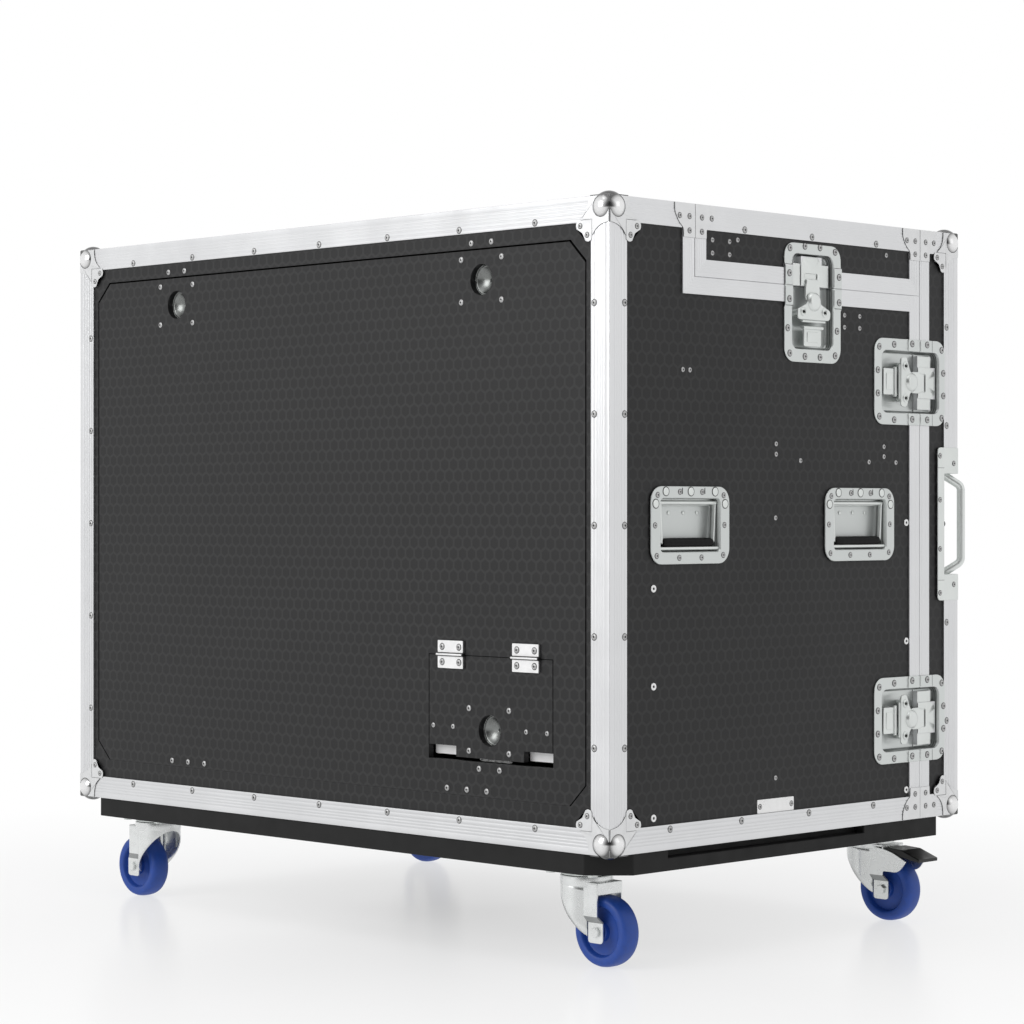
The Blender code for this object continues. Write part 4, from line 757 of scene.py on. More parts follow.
def dish_zinc_painted_shade(name, floor, metallic=0.80):
    """Zinc that is folded in steps down the walls of a dish, with painted shade in dark bands down the walls
    where the folds turn from the light: its colour follows the depth under the side of the case as a share
    of the floor's, light on flange and floor."""
    material, nodes, links, surface = shader(name, (0.69, 0.71, 0.70), 0.34, metallic)
    parts = nodes.new("ShaderNodeSeparateXYZ")
    links.new(nodes.new("ShaderNodeTexCoord").outputs["Object"], parts.inputs[0])
    depth = step_of(nodes, links, "SUBTRACT", WIDE, step_of(nodes, links, "ABSOLUTE", parts.outputs[0]))
    share = step_of(nodes, links, "DIVIDE", depth, floor)
    # Painted shade: the dark stops are bands of shade in the folds of the walls.
    painted_light_tones = ((0.06, 0.63), (0.15, 0.60), (0.24, 0.13), (0.38, 0.46), (0.50, 0.12), (0.66, 0.42),
             (0.80, 0.12), (0.95, 0.50), (0.99, 0.62))
    stops = [(place, (tone * 0.96, tone, tone * 0.985)) for place, tone in painted_light_tones]
    links.new(graded(nodes, links, share, stops), surface.inputs["Base Color"])
    return material


LATCH_FLOOR = 0.0125
LATCH_FLANGE, FLANGE_RADIUS = (-0.0655, -0.1115, 0.0655, 0.0625), 0.021
LATCH_PAN, PAN_RADIUS = (-0.0475, -0.0925, 0.0475, 0.0475), 0.012
OVER_PLY, RAMP_END, RAMP, RISE = -0.0001, 0.0312, 0.0022, 0.0022
latch_zinc = dish_zinc_painted_shade("latch_zinc", LATCH_FLOOR)


def latch_rim(points, over=False):
    """The flange's height: level on the ply, and 2.2 mm higher over the extrusions, with a ramp of
    2.2 mm between, 30 mm each side of the seam; on the cover it stays high beyond the seam."""
    rise = np.clip((RAMP_END - np.abs(points[:, 1])) / RAMP, 0, 1)
    rise = np.where(over & (points[:, 1] > 0), 1.0, rise)
    return OVER_PLY + RISE * rise * rise * (3 - 2 * rise)


def dish_half(keep, over=False):
    """Half a dish as one sheet: flange, rolled inner lip, wall and floor. Every ring is the rounded
    rectangle between flange and pan by a share, clipped at the seam and matched point for point."""
    seam = GAP * keep

    def rim(points):
        """The flange of this latch."""
        return latch_rim(points, over)

    def ring(reach):
        """The rounded rectangle drawn in by a share of the way from flange to pan (over 1, further)."""
        share, more = min(reach, 1), max(reach - 1, 0) * (LATCH_PAN[0] - LATCH_FLANGE[0])
        left, low, right, high = (a + share * (b - a) for a, b in zip(LATCH_FLANGE, LATCH_PAN))
        radius = max(FLANGE_RADIUS + share * (PAN_RADIUS - FLANGE_RADIUS) - more, 0.004)
        outline = round_rect(left + more, low + more, right - more, high - more, radius, 8)
        along = np.linspace(0, 1, 81)
        half = clip_along(outline, seam, keep)
        gone = np.concatenate([[0], np.cumsum(np.linalg.norm(np.diff(half, axis=0), axis=1))])
        return np.stack([np.interp(along * gone[-1], gone, half[:, axis]) for axis in (0, 1)], -1)

    floor = -LATCH_FLOOR
    section = [(0.0, lambda p: rim(p) - 0.0018), (0.0, lambda p: rim(p) - 0.0005),
               (0.03, rim), (0.30, rim), (0.60, rim), (0.84, rim),
               (0.92, lambda p: rim(p) + 0.0002), (0.98, lambda p: rim(p) - 0.0002),
               (1.02, lambda p: rim(p) - 0.0012), (1.05, -0.0045), (1.09, -0.0085), (1.14, -0.0112),
               (1.22, floor), (1.32, floor)]
    points, faces = carried(ring, section)
    last = np.arange(len(points) - len(ring(1.32)), len(points))
    fan = np.stack([last[:-1], last[1:], np.full(len(last) - 1, len(points))], -1)
    return np.concatenate([points, [[0.0, seam, floor]]]), [faces, fan]


LATCH_RIVETS = [(-0.053, 0.0541), (-0.0185, 0.0585), (0.0165, 0.0585), (0.052, 0.0541), (-0.0565, 0.0172),
               (0.0588, 0.0172), (-0.0565, -0.0205), (0.0588, -0.0205), (-0.058, -0.0628), (0.0565, -0.0628),
               (-0.0535, -0.0995), (-0.0185, -0.1030), (0.0165, -0.1030), (0.052, -0.0995)]
CLAW = both_sides([(0.0045, -0.0450), (0.0085, -0.0330), (0.0130, -0.0225), (0.0165, -0.0150),
                   (0.0165, -0.0020), (0.0140, 0.0060), (0.0140, 0.0105)])
LOBES = both_sides([(0.0370, -0.0490), (0.0385, -0.0345), (0.0270, -0.0300), (0.0150, -0.0250),
                    (0.0135, -0.0090)])
LOBE_ROUNDS = [0.006, 0.006, 0.005, 0.005, 0.005, 0.010, 0.010, 0.005, 0.005, 0.005]
EYELET = [(0.0068, 0.0), (0.0066, 0.0010), (0.0052, 0.0018), (0.0038, 0.0014), (0.0034, 0.0002)]
BOSS = [(0.0140, 0.0), (0.0136, 0.0012), (0.0118, 0.0026), (0.0112, 0.0034), (0.0090, 0.0040),
        (0.0030, 0.0042)]
WING_EDGE = both_sides([(0.0200, -0.0275), (0.0200, 0.0005), (0.0120, 0.0020)])
PANEL_EDGE = both_sides([(0.0130, -0.0215), (0.0130, -0.0060)])
KEEPER = both_sides([(0.0240, 0.0005), (0.0240, 0.0340), (0.0165, 0.0438)])


def ray(outline, centre, angle):
    """Where rays from a centre at given angles cross a closed outline: of the crossings with all
    its edges, the nearest that lies ahead and between the edge's two ends."""
    ends = np.roll(outline, -1, 0)
    way = np.stack([np.cos(angle), np.sin(angle)], -1)[:, None]
    edge, start = ends - outline, outline - centre
    cross = way[..., 0] * edge[:, 1] - way[..., 1] * edge[:, 0]
    cross = np.where(abs(cross) < 1e-12, 1e-12, cross)
    far = (start[:, 0] * edge[:, 1] - start[:, 1] * edge[:, 0]) / cross
    share = (start[:, 0] * way[..., 1] - start[:, 1] * way[..., 0]) / cross
    far = np.where((share >= -1e-6) & (share <= 1 + 1e-6) & (far > 0), far, 1e9)
    return centre + way[:, 0] * far.min(1)[:, None]


def keeper_plate():
    """The raised keeper on the lid's half: a plate with a slot under the claw's tip, on a wider
    plate whose ends show as ears."""
    ears = softened(both_sides([(0.0410, 0.0006), (0.0410, 0.0330)]), [0.001, 0.001, 0.006, 0.006], 4)
    outer = softened(KEEPER, [0.001, 0.001, 0.004, 0.005, 0.005, 0.004], 4)
    slot = round_rect(-0.0140, 0.0114, 0.0140, 0.0195, 0.0012, 3)
    count = 96
    angle = np.linspace(-np.pi, np.pi, count, endpoint=False)
    middle = np.array([0.0, 0.0155])
    outside, inside = ray(outer, middle, angle), ray(slot, middle, angle)
    top = -0.0030
    rings = [(outside, -0.0046), (outside, -0.0036), (middle + (outside - middle) * 0.975, top),
             (middle + (inside - middle) * 1.04, top), (inside, -0.0034), (inside, -0.0100)]
    points = np.concatenate([np.column_stack([ring, np.full(count, level)]) for ring, level in rings])
    last = (len(rings) - 1) * count
    low = np.stack([np.arange(count)[::-1], np.arange(count) + last])
    return together([plate(ears, -0.0070, -0.0044), (points, [grid(len(rings), count, around=True), low])])


SLOT_HOLE = round_rect(-0.0136, 0.0116, 0.0136, 0.0193, 0.001, 2)
FOLD = softened([(-0.0655, -0.0003), (-0.0480, -0.0003), (-0.0480, 0.0003), (-0.0655, 0.0003)], 0.0001, 2)
FOLD_PLACE = 0.0300
EYELET_ACROSS, EYELET_ALONG = 0.0245, -0.0375
BRIDGE_LOW, BRIDGE_HIGH = 0.0004, 0.0024
BRIDGE_TOP = 0.0023
HUB_PLACE, ROD_PLACE, WING_PLACE = -0.0225, -0.0512, -0.0605
POST = [(0.0050, -LATCH_FLOOR), (0.0050, 0.0006)]
EYE_HOLE = [(0.0023, 0.0), (0.0023, 0.0004)]
ROD = [(0.0016, -0.0265), (0.0019, -0.0262), (0.0019, 0.0262), (0.0016, 0.0265)]
BARREL = [(0.0028, -0.0225), (0.0028, 0.0225)]
LYING = (0, 1, 0), (0, 0, 1), (1, 0, 0)
# Matte black sheets as painted shadow: in the keeper slots, in the eyelet holes and along the flange folds.
painted_shadow_black = mottled("painted_shadow_black", 0.004, 0.008, (0.85, 0.95), grain=300, specular=0.1)
shadows = {"case": [], "lid": [], "cover": []}
latch_places = []
for hand, side in ((-1, "left"), (1, "right")):
    out = (hand, 0, 0)
    latch_places.append(("lid_latch", side, (hand * WIDE, LID_LATCH, LID), (0, 1, 0), (0, 0, 1), out, "lid"))
    for name, level in zip(("upper_cover_latch", "lower_cover_latch"), COVER_LATCHES):
        latch_places.append((name, side, (hand * WIDE, COVER, level), (0, 0, 1), (0, 1, 0), out, "cover"))
for name, side, spot, across, along, out, holder in latch_places:
    across, along, out = (np.array(v, float) for v in (across, along, out))

    def placed(shape, origin=(0, 0, 0)):
        """A shape of the latch's own frame, moved to a point there and then to the case."""
        a, b, c = origin
        return at(shape, np.array(spot) + a * across + b * along + c * out, across, along, out)

    keeper_half = placed(dish_half(1, holder == "cover"))
    body_half = placed(dish_half(-1))
    shell = piece(f"{name}_dish_{side}_sheet", body_half, latch_zinc, "case", sheet=0.0011)
    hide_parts(f"{name}_dish_{side}")
    piece(f"{name}_keeper_{side}_sheet", keeper_half, latch_zinc, holder, sheet=0.0009)
    piece(f"{name}_keeper_{side}", placed(keeper_plate()), zinc, holder)
    shadows[holder].append(placed(plate(SLOT_HOLE, -0.0070, -0.0048)))
    for a, b in LATCH_RIVETS:
        height = float(latch_rim(np.array([[a, b]]), holder == "cover")[0])
        nail = np.array(spot) + a * across + b * along + (height + 0.0002) * out
        rivet(holder if b > 0 else "case", [nail], out)
    bridge = plate(softened(LOBES, LOBE_ROUNDS, 5), BRIDGE_LOW, BRIDGE_HIGH, 0.0006)
    hub = [placed(bridge), placed(turned(BOSS, 40), (0, HUB_PLACE, BRIDGE_TOP))]
    eyes = [(a, EYELET_ALONG) for a in (-EYELET_ACROSS, EYELET_ACROSS)]
    hub += [placed(turned(EYELET, 24), (*eye, BRIDGE_TOP)) for eye in eyes]
    hub += [placed(turned(POST, 16), (*eye, 0)) for eye in eyes]
    hub.append(placed(at(turned(ROD, 16), (0, ROD_PLACE, BRIDGE_LOW), *LYING)))
    shadows["case"] += [placed(turned(EYE_HOLE, 16), (*eye, 0.0027)) for eye in eyes]
    crease = OVER_PLY + RISE
    for flank in (-1, 1):
        for b in (-FOLD_PLACE, FOLD_PLACE):
            fold = plate(FOLD * [flank, 1], 0.0, 0.0002, 0.0001)
            shadows[holder if b > 0 else "case"].append(placed(fold, (0, b, crease)))
    piece(f"{name}_bridge_{side}", together(hub), zinc, "case")
    claw = placed(plate(softened(CLAW, 0.0022, 4), -0.0027, -0.0002, 0.0007))
    claws = piece(f"{name}_claw_{side}_plate", claw, zinc, f"{side}_{name}_claw")
    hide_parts(f"{name}_claw_{side}")
    leaf = plate(softened(WING_EDGE, [0.004, 0.004, 0.002, 0.002, 0.002, 0.002], 4), -0.0022, 0.0, 0.0006)
    press = plate(softened(PANEL_EDGE, 0.002, 3), -0.0002, 0.0007, 0.0004)
    barrel = at(turned(BARREL, 20), (0, 0, -0.0005), *LYING)
    wing = [placed(leaf, (0, WING_PLACE, -0.0008)), placed(press, (0, WING_PLACE, -0.0008)),
            placed(barrel, (0, WING_PLACE, -0.0005))]
    wings = piece(f"{name}_wing_{side}_leaf", together(wing), zinc, f"{side}_{name}_wing")
    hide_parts(f"{name}_wing_{side}")
for body, shapes in shadows.items():
    piece(f"latch_painted_shadows_{body}", together(shapes), painted_shadow_black, body)


# Recessed handles
# Four shallow zinc boxes let into the long sides, each with a rolled flange, and in it a bail of
# bent wire with a black rubber grip that a spring lays flat.

HANDLE_SPOTS = (("rear", -0.2315), ("front", 0.1515))
HANDLE_LEVEL = 0.617
HANDLE_DISH = [((0, 0.022), -0.0004), ((0.0, 0.022), 0.0006), ((0.0005, 0.0215), 0.0013),
               ((0.0030, 0.019), 0.0016), ((0.0120, 0.014), 0.0016), ((0.0162, 0.010), 0.0019),
               ((0.0178, 0.007), 0.0017), ((0.0186, 0.006), 0.0008), ((0.0190, 0.0055), -0.0020),
               ((0.0196, 0.005), -0.0120), ((0.0210, 0.005), -0.0172), ((0.0225, 0.005), -0.0184),
               ((0.0300, 0.004), -0.0184)]
handle_zinc = dish_zinc_painted_shade("handle_zinc", 0.0184, 0.5)
grip_rubber = mottled("grip_rubber", 0.003, 0.006, (0.45, 0.60), grain=200, bump=0.15, specular=0.12)


def tube(path, radius, sides=16):
    """A round bar along a path in the plane of local across and along: rings square to the path's mean
    direction at each point, its ends closed."""
    path = np.asarray(path, float)
    radius = np.broadcast_to(np.asarray(radius, float), len(path))
    run = np.gradient(path, axis=0)
    run /= np.linalg.norm(run, axis=1, keepdims=True)
    flat = np.array([0.0, 0.0, 1.0]) if np.ptp(path[:, 2]) < 1e-9 else np.array([1.0, 0.0, 0.0])
    beside = np.cross(run, flat)
    beside /= np.linalg.norm(beside, axis=1, keepdims=True)
    over = np.cross(beside, run)
    turn = np.linspace(0, 2 * np.pi, sides, endpoint=False)[None, :, None]
    circle = np.cos(turn) * beside[:, None] + np.sin(turn) * over[:, None]
    rings = path[:, None] + radius[:, None, None] * circle
    last = (len(path) - 1) * sides
    ends = np.stack([np.arange(sides)[::-1], np.arange(sides) + last])
    return rings.reshape(-1, 3), [grid(len(path), sides, around=True), ends]


def bent(points, radius, steps=6):
    """An open path with its bends rounded, each by the curve that weights its corner in the middle."""
    points = np.asarray(points, float)
    found = [points[:1]]
    go = np.linspace(0, 1, steps + 1)[:, None]
    for before, corner, after in zip(points[:-2], points[1:-1], points[2:]):
        first = corner + (before - corner) / np.linalg.norm(before - corner) * radius
        last = corner + (after - corner) / np.linalg.norm(after - corner) * radius
        found.append((1 - go) ** 2 * first + 2 * go * (1 - go) * corner + go ** 2 * last)
    return np.concatenate([*found, points[-1:]])


DOME = [(0.0064, -0.0002), (0.0062, 0.0004), (0.0050, 0.0010), (0.0030, 0.0013), (0.0008, 0.0014)]
PIN_HEAD = [(0.0030, -0.0002), (0.0028, 0.0009), (0.0018, 0.0015), (0.0006, 0.0017)]
FLANGE_ACROSS, FLANGE_UP = 0.083, 0.0545
DRAW_ACROSS, DRAW_UP = 1.08, 0.91
DOME_PROUD, RIM_PROUD, RIM_SIZE = 0.0015, 0.0018, 1.32
PIN_DEEP, PIN_ROW = 0.0182, 0.0172
DOME_PLACES = ((-0.0525, 0.0472), (0.0, 0.0472), (0.0515, 0.0472), (-0.0735, 0.0300), (0.0730, 0.0300))
PIN_PLACES = (-0.0555, -0.0255, 0.0055, 0.0345)
SLIT_PLACES = (-0.0180, 0.0295)
HANDLE_RIVETS = ((-0.0695, 0.0422), (-0.0230, 0.0467), (0.0240, 0.0467), (0.0700, 0.0422), (-0.0750, 0.0),
                 (0.0715, 0.0), (-0.0715, -0.0425), (-0.0245, -0.0455), (0.0225, -0.0455), (0.0690, -0.0425))
PIVOT_CLAMP = round_rect(-0.0640, 0.0272, 0.0640, 0.0372, 0.001, 2)
LOW_LIP = [(-0.0615, -0.0325, -0.0030), (0.0615, -0.0325, -0.0030)]
PIVOT, GRIP_LEVEL, WIRE_DEPTH = 0.0317, -0.0243, -0.0070
WIRE_RADIUS = 0.0030
WIRE = bent([(-0.0603, PIVOT, WIRE_DEPTH), (-0.0570, PIVOT, WIRE_DEPTH), (-0.0535, GRIP_LEVEL, WIRE_DEPTH),
             (0.0555, GRIP_LEVEL, WIRE_DEPTH), (0.0590, PIVOT, WIRE_DEPTH), (0.0603, PIVOT, WIRE_DEPTH)],
            0.0030)
PIVOT_BAR = [(-0.0580, PIVOT, WIRE_DEPTH), (0.0580, PIVOT, WIRE_DEPTH)]


def handle_dish():
    """The box as one open sheet: rounded rectangles, each drawn in by its (reach, radius) and set at
    its height, and the last one closed as the floor."""
    rings = []
    for (reach, radius), height in HANDLE_DISH:
        right, high = FLANGE_ACROSS - DRAW_ACROSS * reach, FLANGE_UP - DRAW_UP * reach
        ring = round_rect(-right, -high, right, high, radius, 8)
        rings.append(np.column_stack([ring, np.full(len(ring), height)]))
    count = len(rings[0])
    floor = np.arange(count) + count * (len(rings) - 1)
    return np.concatenate(rings), [grid(len(rings), count, around=True), floor[None]]


def grip():
    """The rubber sleeve: a bar that thins towards its ends, with a fine groove at every fourth of
    its rings."""
    count = 41
    reach = np.linspace(-1, 1, count)
    thick = 0.0066 - 0.0012 * np.abs(reach) ** 12 - 0.00018 * (np.arange(count) % 4 == 0)
    path = np.column_stack([reach * 0.0525, np.full(count, GRIP_LEVEL), np.full(count, WIRE_DEPTH)])
    return tube(path, thick, 24)


for side, hand in (("left", -1), ("right", 1)):
    for end, depth in HANDLE_SPOTS:
        name = f"{end}_handle_{side}"
        spot = np.array([hand * WIDE, depth, HANDLE_LEVEL])
        axes = ((0, 1, 0), (0, 0, 1), (hand, 0, 0))
        box = at(handle_dish(), spot, *axes)
        shell = piece(f"{name}_box", box, handle_zinc, "case", sheet=0.0010)
        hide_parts(f"{name}_dish")
        trim = [at(plate(PIVOT_CLAMP, -0.0170, -0.0115, 0.0006), spot, *axes),
                at(tube(LOW_LIP, 0.0025, 12), spot, *axes)]
        trim += [at(turned(PIN_HEAD, 16), spot + [hand * -PIN_DEEP, a, PIN_ROW], *axes) for a in PIN_PLACES]
        # The dark rings under the domes and the dark slits are painted shade, and go in with the rivets'
        # painted shade.
        dark = rivets["case"][1]
        for a, b in DOME_PLACES:
            trim.append(at(turned(DOME, 20), spot + [hand * DOME_PROUD, a, b], *axes))
            dark.append(at(turned(np.array(RIM) * RIM_SIZE, 20), spot + [hand * RIM_PROUD, a, b], *axes))
        for a in SLIT_PLACES:
            slit = round_rect(a - 0.0009, 0.0436, a + 0.0009, 0.0525, 0.0008, 3)
            dark.append(at(plate(slit, 0.0010, 0.0018, 0.0002), spot, *axes))
        piece(f"{name}_trim", together(trim), zinc, "case")
        for a, b in HANDLE_RIVETS:
            rivet("case", [spot + [hand * RIM_PROUD, a, b]], (hand, 0, 0), True)
        wires = [at(tube(WIRE, WIRE_RADIUS), spot, *axes), at(tube(PIVOT_BAR, WIRE_RADIUS, 20), spot, *axes)]
        bail = piece(f"{name}_wire", together(wires), zinc, name)
        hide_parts(f"{name}_bail")
        piece(f"{name}_grip", at(grip(), spot, *axes), grip_rubber, name)


# Corner handles
# Zinc angle plates let round the cover's upright edges. The edge behind is cut off at 45 degrees
# and closed with a slanting plate; a round bar spans it, its ends sloping in to the plate.

LUG = softened([(-0.1184, 0.0004), (-0.0780, 0.0004), (-0.0780, 0.0362), (0.0780, 0.0362),
                (0.0780, 0.0004), (0.1184, 0.0004), (0.1184, 0.0532), (-0.1184, 0.0532)],
               [0.0012, 0.0012, 0.0012, 0.0012, 0.0012, 0.0012, 0.0080, 0.0080], 5)
LUG_RIVETS = ((0.1055, 0.0475), (0.0375, 0.0475), (-0.0385, 0.0475), (-0.1065, 0.0475), (0.0940, 0.0120),
              (-0.0940, 0.0120))
LUG_FOLD = softened([(0.0866, 0.0366), (0.0872, 0.0366), (0.0872, 0.0526), (0.0866, 0.0526)], 0.0001, 2)
LUG_SHEET = 0.0016
BACK = softened(both_sides([(0.0272, -0.0792), (0.0272, 0.0792)]), 0.001, 2)
BACK_LOW, BACK_HIGH = -0.0272, -0.0258
SHELF = softened([(0.0012, 0.0372), (0.0372, 0.0012), (0.0012, 0.0012)], 0.0008, 3)
SHELF_LEVEL, SHELF_SHEET = 0.0783, 0.0014
BAR = bent([(0, 0.0775, -0.0240), (0, 0.0590, 0.0052), (0, -0.0590, 0.0052), (0, -0.0775, -0.0240)],
           0.0070, 10)
BAR_RADIUS = 0.0064
for side, hand in (("left", -1), ("right", 1)):
    corner = np.array([hand * WIDE, DEEP, HANDLE_LEVEL])
    up = (0, 0, 1)
    shapes, folds = [], []
    for out, inward in (((hand, 0, 0), (0, -1, 0)), ((0, 1, 0), (-hand, 0, 0))):
        out, inward = np.array(out, float), np.array(inward, float)
        spot = corner + SPREAD * out
        shapes.append(at(plate(LUG, 0.0, LUG_SHEET, 0.0005), spot, up, inward, out))
        # Thin dark beads along the folds: painted shade of the fold.
        fold = plate(LUG_FOLD, 0.0010, 0.0018, 0.0001)
        folds += [at(fold, spot, (0, 0, end), inward, out) for end in (-1, 1)]
        nails = [spot + [0, 0, a] + b * inward + 0.0018 * out for a, b in LUG_RIVETS]
        rivet("cover", nails, out, True)
    slope = np.array([hand, 1, 0]) / np.sqrt(2)
    across = np.cross(up, slope)
    shapes.append(at(plate(BACK, BACK_LOW, BACK_HIGH, 0.0003), corner, across, up, slope))
    for end in (-1, 1):
        shelf = plate(SHELF * [-hand, -1], 0.0, SHELF_SHEET, 0.0003)
        shapes.append(at(shelf, corner + [0, 0, end * SHELF_LEVEL], (1, 0, 0), (0, 1, 0), (0, 0, end)))
    lug = piece(f"corner_handle_{side}_plates", together(shapes), zinc, "cover")
    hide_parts(f"corner_handle_{side}")
    piece(f"corner_handle_{side}_folds", together(folds), painted_shade_zinc, "cover")
    bar = at(tube(BAR, BAR_RADIUS, 28), corner, across, up, slope)
    piece(f"corner_handle_{side}_bar", bar, zinc, "cover")


# Door
# A panel of the same ply with chamfered corners, standing on two steel tongues and held by two
# finger latches: sliding blocks behind the panel, each with a cupped steel finger hole.

cup_steel = mottled("cup_steel", (0.15, 0.155, 0.15), (0.24, 0.25, 0.245), (0.22, 0.34), metallic=0.85,
                    grain=60, bump=0.03)
DOOR = -0.3947
ON_DOOR = DOOR - 0.0001
CUP_RADIUS, CUP_CENTRE = 0.0290, 0.0100
CUP = [(CUP_RADIUS * np.sin(turn), CUP_CENTRE - CUP_RADIUS * np.cos(turn))
       for turn in np.radians(np.linspace(46, 1, 10))]
CUP_PLACE, CUP_LEVEL = 0.348, 0.9665
BOLT_RIVETS, STRIKE_RIVETS = 0.041, 0.0204
TONGUE_RIVETS = (0.2775, 0.3185, 0.359)


def cup(spot):
    """A finger cup behind a panel: a shallow bowl turned about the hole's middle."""
    bowl = turned(CUP, 48)
    return at((bowl[0], bowl[1][:1]), spot, (1, 0, 0), (0, 0, 1), (0, -1, 0))


def face_rivets(body, places, levels, small=False):
    """Rivets in the door's face, one at each of the places on each of the levels."""
    rivet(body, [(a, ON_DOOR, level) for a in places for level in levels], (0, -1, 0), small)


for side, hand in (("left", -1), ("right", 1)):
    middle = hand * CUP_PLACE
    bowl = cup((middle, DOOR, CUP_LEVEL))
    dress(cup_steel, f"door_bolt_{side}")
    piece(f"door_cup_{side}", bowl, cup_steel, f"{side}_door_bolt", sheet=0.0006)
    face_rivets("door", (middle - BOLT_RIVETS, middle + BOLT_RIVETS), (0.997, 0.936))
    face_rivets("case", (middle - STRIKE_RIVETS, middle + STRIKE_RIVETS), (1.0195,))
    face_rivets("door", [hand * a for a in TONGUE_RIVETS], (0.238,))


# Cable hatch
# A flap in the door on two butt hinges with light grey leaves, with two cable notches in its lower
# edge over steel plates behind, a finger latch, and the latch's bright keeper strip.

leaf_grey = mottled("leaf_grey", 0.80, 0.90, (0.35, 0.50), metallic=0.15, grain=60, bump=0.03)
plate_white = mottled("plate_white", 0.88, 0.95, (0.40, 0.55), grain=60, bump=0.02)
FACE = (1, 0, 0), (0, 0, 1), (0, -1, 0)
ON_FACE = ((0, DOOR, 0), *FACE)
HINGES = ((0.2600, 0.3120), (0.4120, 0.4640))
PIN_LEVEL, PIN_PROUD, PIN_RADIUS = 0.4305, 0.0044, 0.0015
LEAF_TOP = 0.0022
CABLE_PLATES = ((0.2385, 0.2990), (0.4310, 0.4915))
TOOTH = [(0.0016, 0.0), (0.0016, 0.0012), (0.0008, 0.0018)]
leaves_door, leaves_hatch, pins = [], [], []
for left, right in HINGES:
    upper = round_rect(left, 0.4331, right, 0.4506, 0.0012, 3)
    lower = round_rect(left, 0.4105, right, 0.4279, 0.0012, 3)
    leaves_door.append(at(plate(upper, 0.0010, LEAF_TOP, 0.0003), *ON_FACE))
    leaves_hatch.append(at(plate(lower, 0.0010, LEAF_TOP, 0.0003), *ON_FACE))
    length = right - left
    pin = [(0.0012, -0.0005), (PIN_RADIUS, 0.0), (PIN_RADIUS, length), (0.0012, length + 0.0005)]
    pins.append(at(turned(pin, 16), (left, DOOR - PIN_PROUD, PIN_LEVEL), *LYING))
    for body, level in (("door", 0.4415), ("hatch", 0.4195)):
        nails = [(a, DOOR - LEAF_TOP, level) for a in (left + 0.0095, right - 0.0078)]
        rivet(body, nails, (0, -1, 0))
piece("hinge_leaves_door", together(leaves_door), leaf_grey, "door")
piece("hinge_leaves_hatch", together(leaves_hatch), leaf_grey, "hatch")
piece("hinge_pins", together(pins), leaf_grey, "hatch")
dress(cup_steel, "hatch_bolt")
piece("hatch_cup", cup((0.365, DOOR, 0.3245)), cup_steel, "hatch_latch", sheet=0.0006)
face_rivets("hatch", (0.323, 0.404), (0.355, 0.294))
face_rivets("hatch", (0.249, 0.290, 0.438, 0.479), (0.327,), True)
face_rivets("door", (0.3435, 0.385), (0.2695,))
backs = [at(plate(round_rect(left, 0.2850, right, 0.3080, 0.0015, 4), -0.0160, -0.0148, 0.0003), *ON_FACE)
         for left, right in CABLE_PLATES]
piece("cable_plates", together(backs), plate_white, "door")
teeth = [at(turned(TOOTH, 12), (a, DOOR + 0.0128, 0.2818), *FACE)
         for a in 0.3645 + 0.014 * np.arange(-2, 3) - 0.001]
keeper = at(plate(round_rect(0.3330, 0.2792, 0.3960, 0.2822, 0.001, 3), -0.0148, -0.0130, 0.0003), *ON_FACE)
piece("hatch_keeper", together([keeper, *teeth]), leaf_grey, "door")


# Rack frames and fixings
# Two black steel frames for nineteen-inch gear stand inside, held through the sides by screws with
# bright washers. Small rivets hold fittings inside, and a bare plate is riveted to each side.

dress(black_steel, "rack_frame_left", "rack_frame_right")
washer_zinc = mottled("washer_zinc", 0.78, 0.86, (0.25, 0.40), metallic=0.5, grain=80, bump=0.02)
LID_FIXINGS = ((-0.1814, 1.0207), (-0.1814, 1.0020), (-0.1443, 1.0207), (-0.1443, 1.0020), (-0.1264, 1.0243),
               (0.2193, 1.0243))
BODY_FIXINGS = ((0.1179, 0.9286), (0.1543, 0.9286), (0.1179, 0.9107), (0.1543, 0.9107), (-0.2443, 0.8350),
                (-0.2293, 0.8350), (-0.0407, 0.7343), (-0.0407, 0.7193), (0.2136, 0.7343), (0.2136, 0.7193),
                (-0.0421, 0.6270), (-0.0421, 0.2500), (0.0150, 0.7107), (0.1770, 0.7107), (0.2430, 0.7107))
WASHERS = ((-0.3057, 0.5293), (-0.3057, 0.3936), (-0.3057, 0.2114), (0.2686, 0.6193), (0.2686, 0.4386),
           (0.2686, 0.2114))
SIDE_PLY = WIDE - 0.0023
WASHER_RING = [(0.0018, 0.0), (0.0050, 0.0), (0.0053, 0.0004), (0.0050, 0.0010), (0.0030, 0.0012),
               (0.0026, 0.0008), (0.0018, 0.0007)]
WASHER_SCREW = [(0.0019, -0.0002), (0.0019, 0.0009)]
BARE_PLATE = round_rect(-0.0836, 0.2007, -0.0014, 0.2207, 0.0015, 4)
BARE_SHEET = 0.0008
plates, washers = [], []
for hand in (-1, 1):
    out = (hand, 0, 0)
    x = hand * SIDE_PLY
    axes = ((0, 1, 0), (0, 0, 1), out)
    rivet("lid", [(x, a, b) for a, b in LID_FIXINGS], out, True)
    rivet("case", [(x, a, b) for a, b in BODY_FIXINGS], out, True)
    for a, b in WASHERS:
        washers.append(at(turned(WASHER_RING, 24), (x, a, b), *axes))
        rivets["case"][1].append(at(turned(WASHER_SCREW, 12), (x, a, b), *axes))
    plates.append(at(plate(BARE_PLATE, 0.0, BARE_SHEET, 0.0003), (x, 0, 0), *axes))
    rivet("case", [(hand * (SIDE_PLY + BARE_SHEET), a, 0.2107) for a in (-0.0779, -0.0071)], out, True)
piece("fixing_washers", together(washers), washer_zinc, "case")
piece("bare_plates", together(plates), washer_zinc, "case")
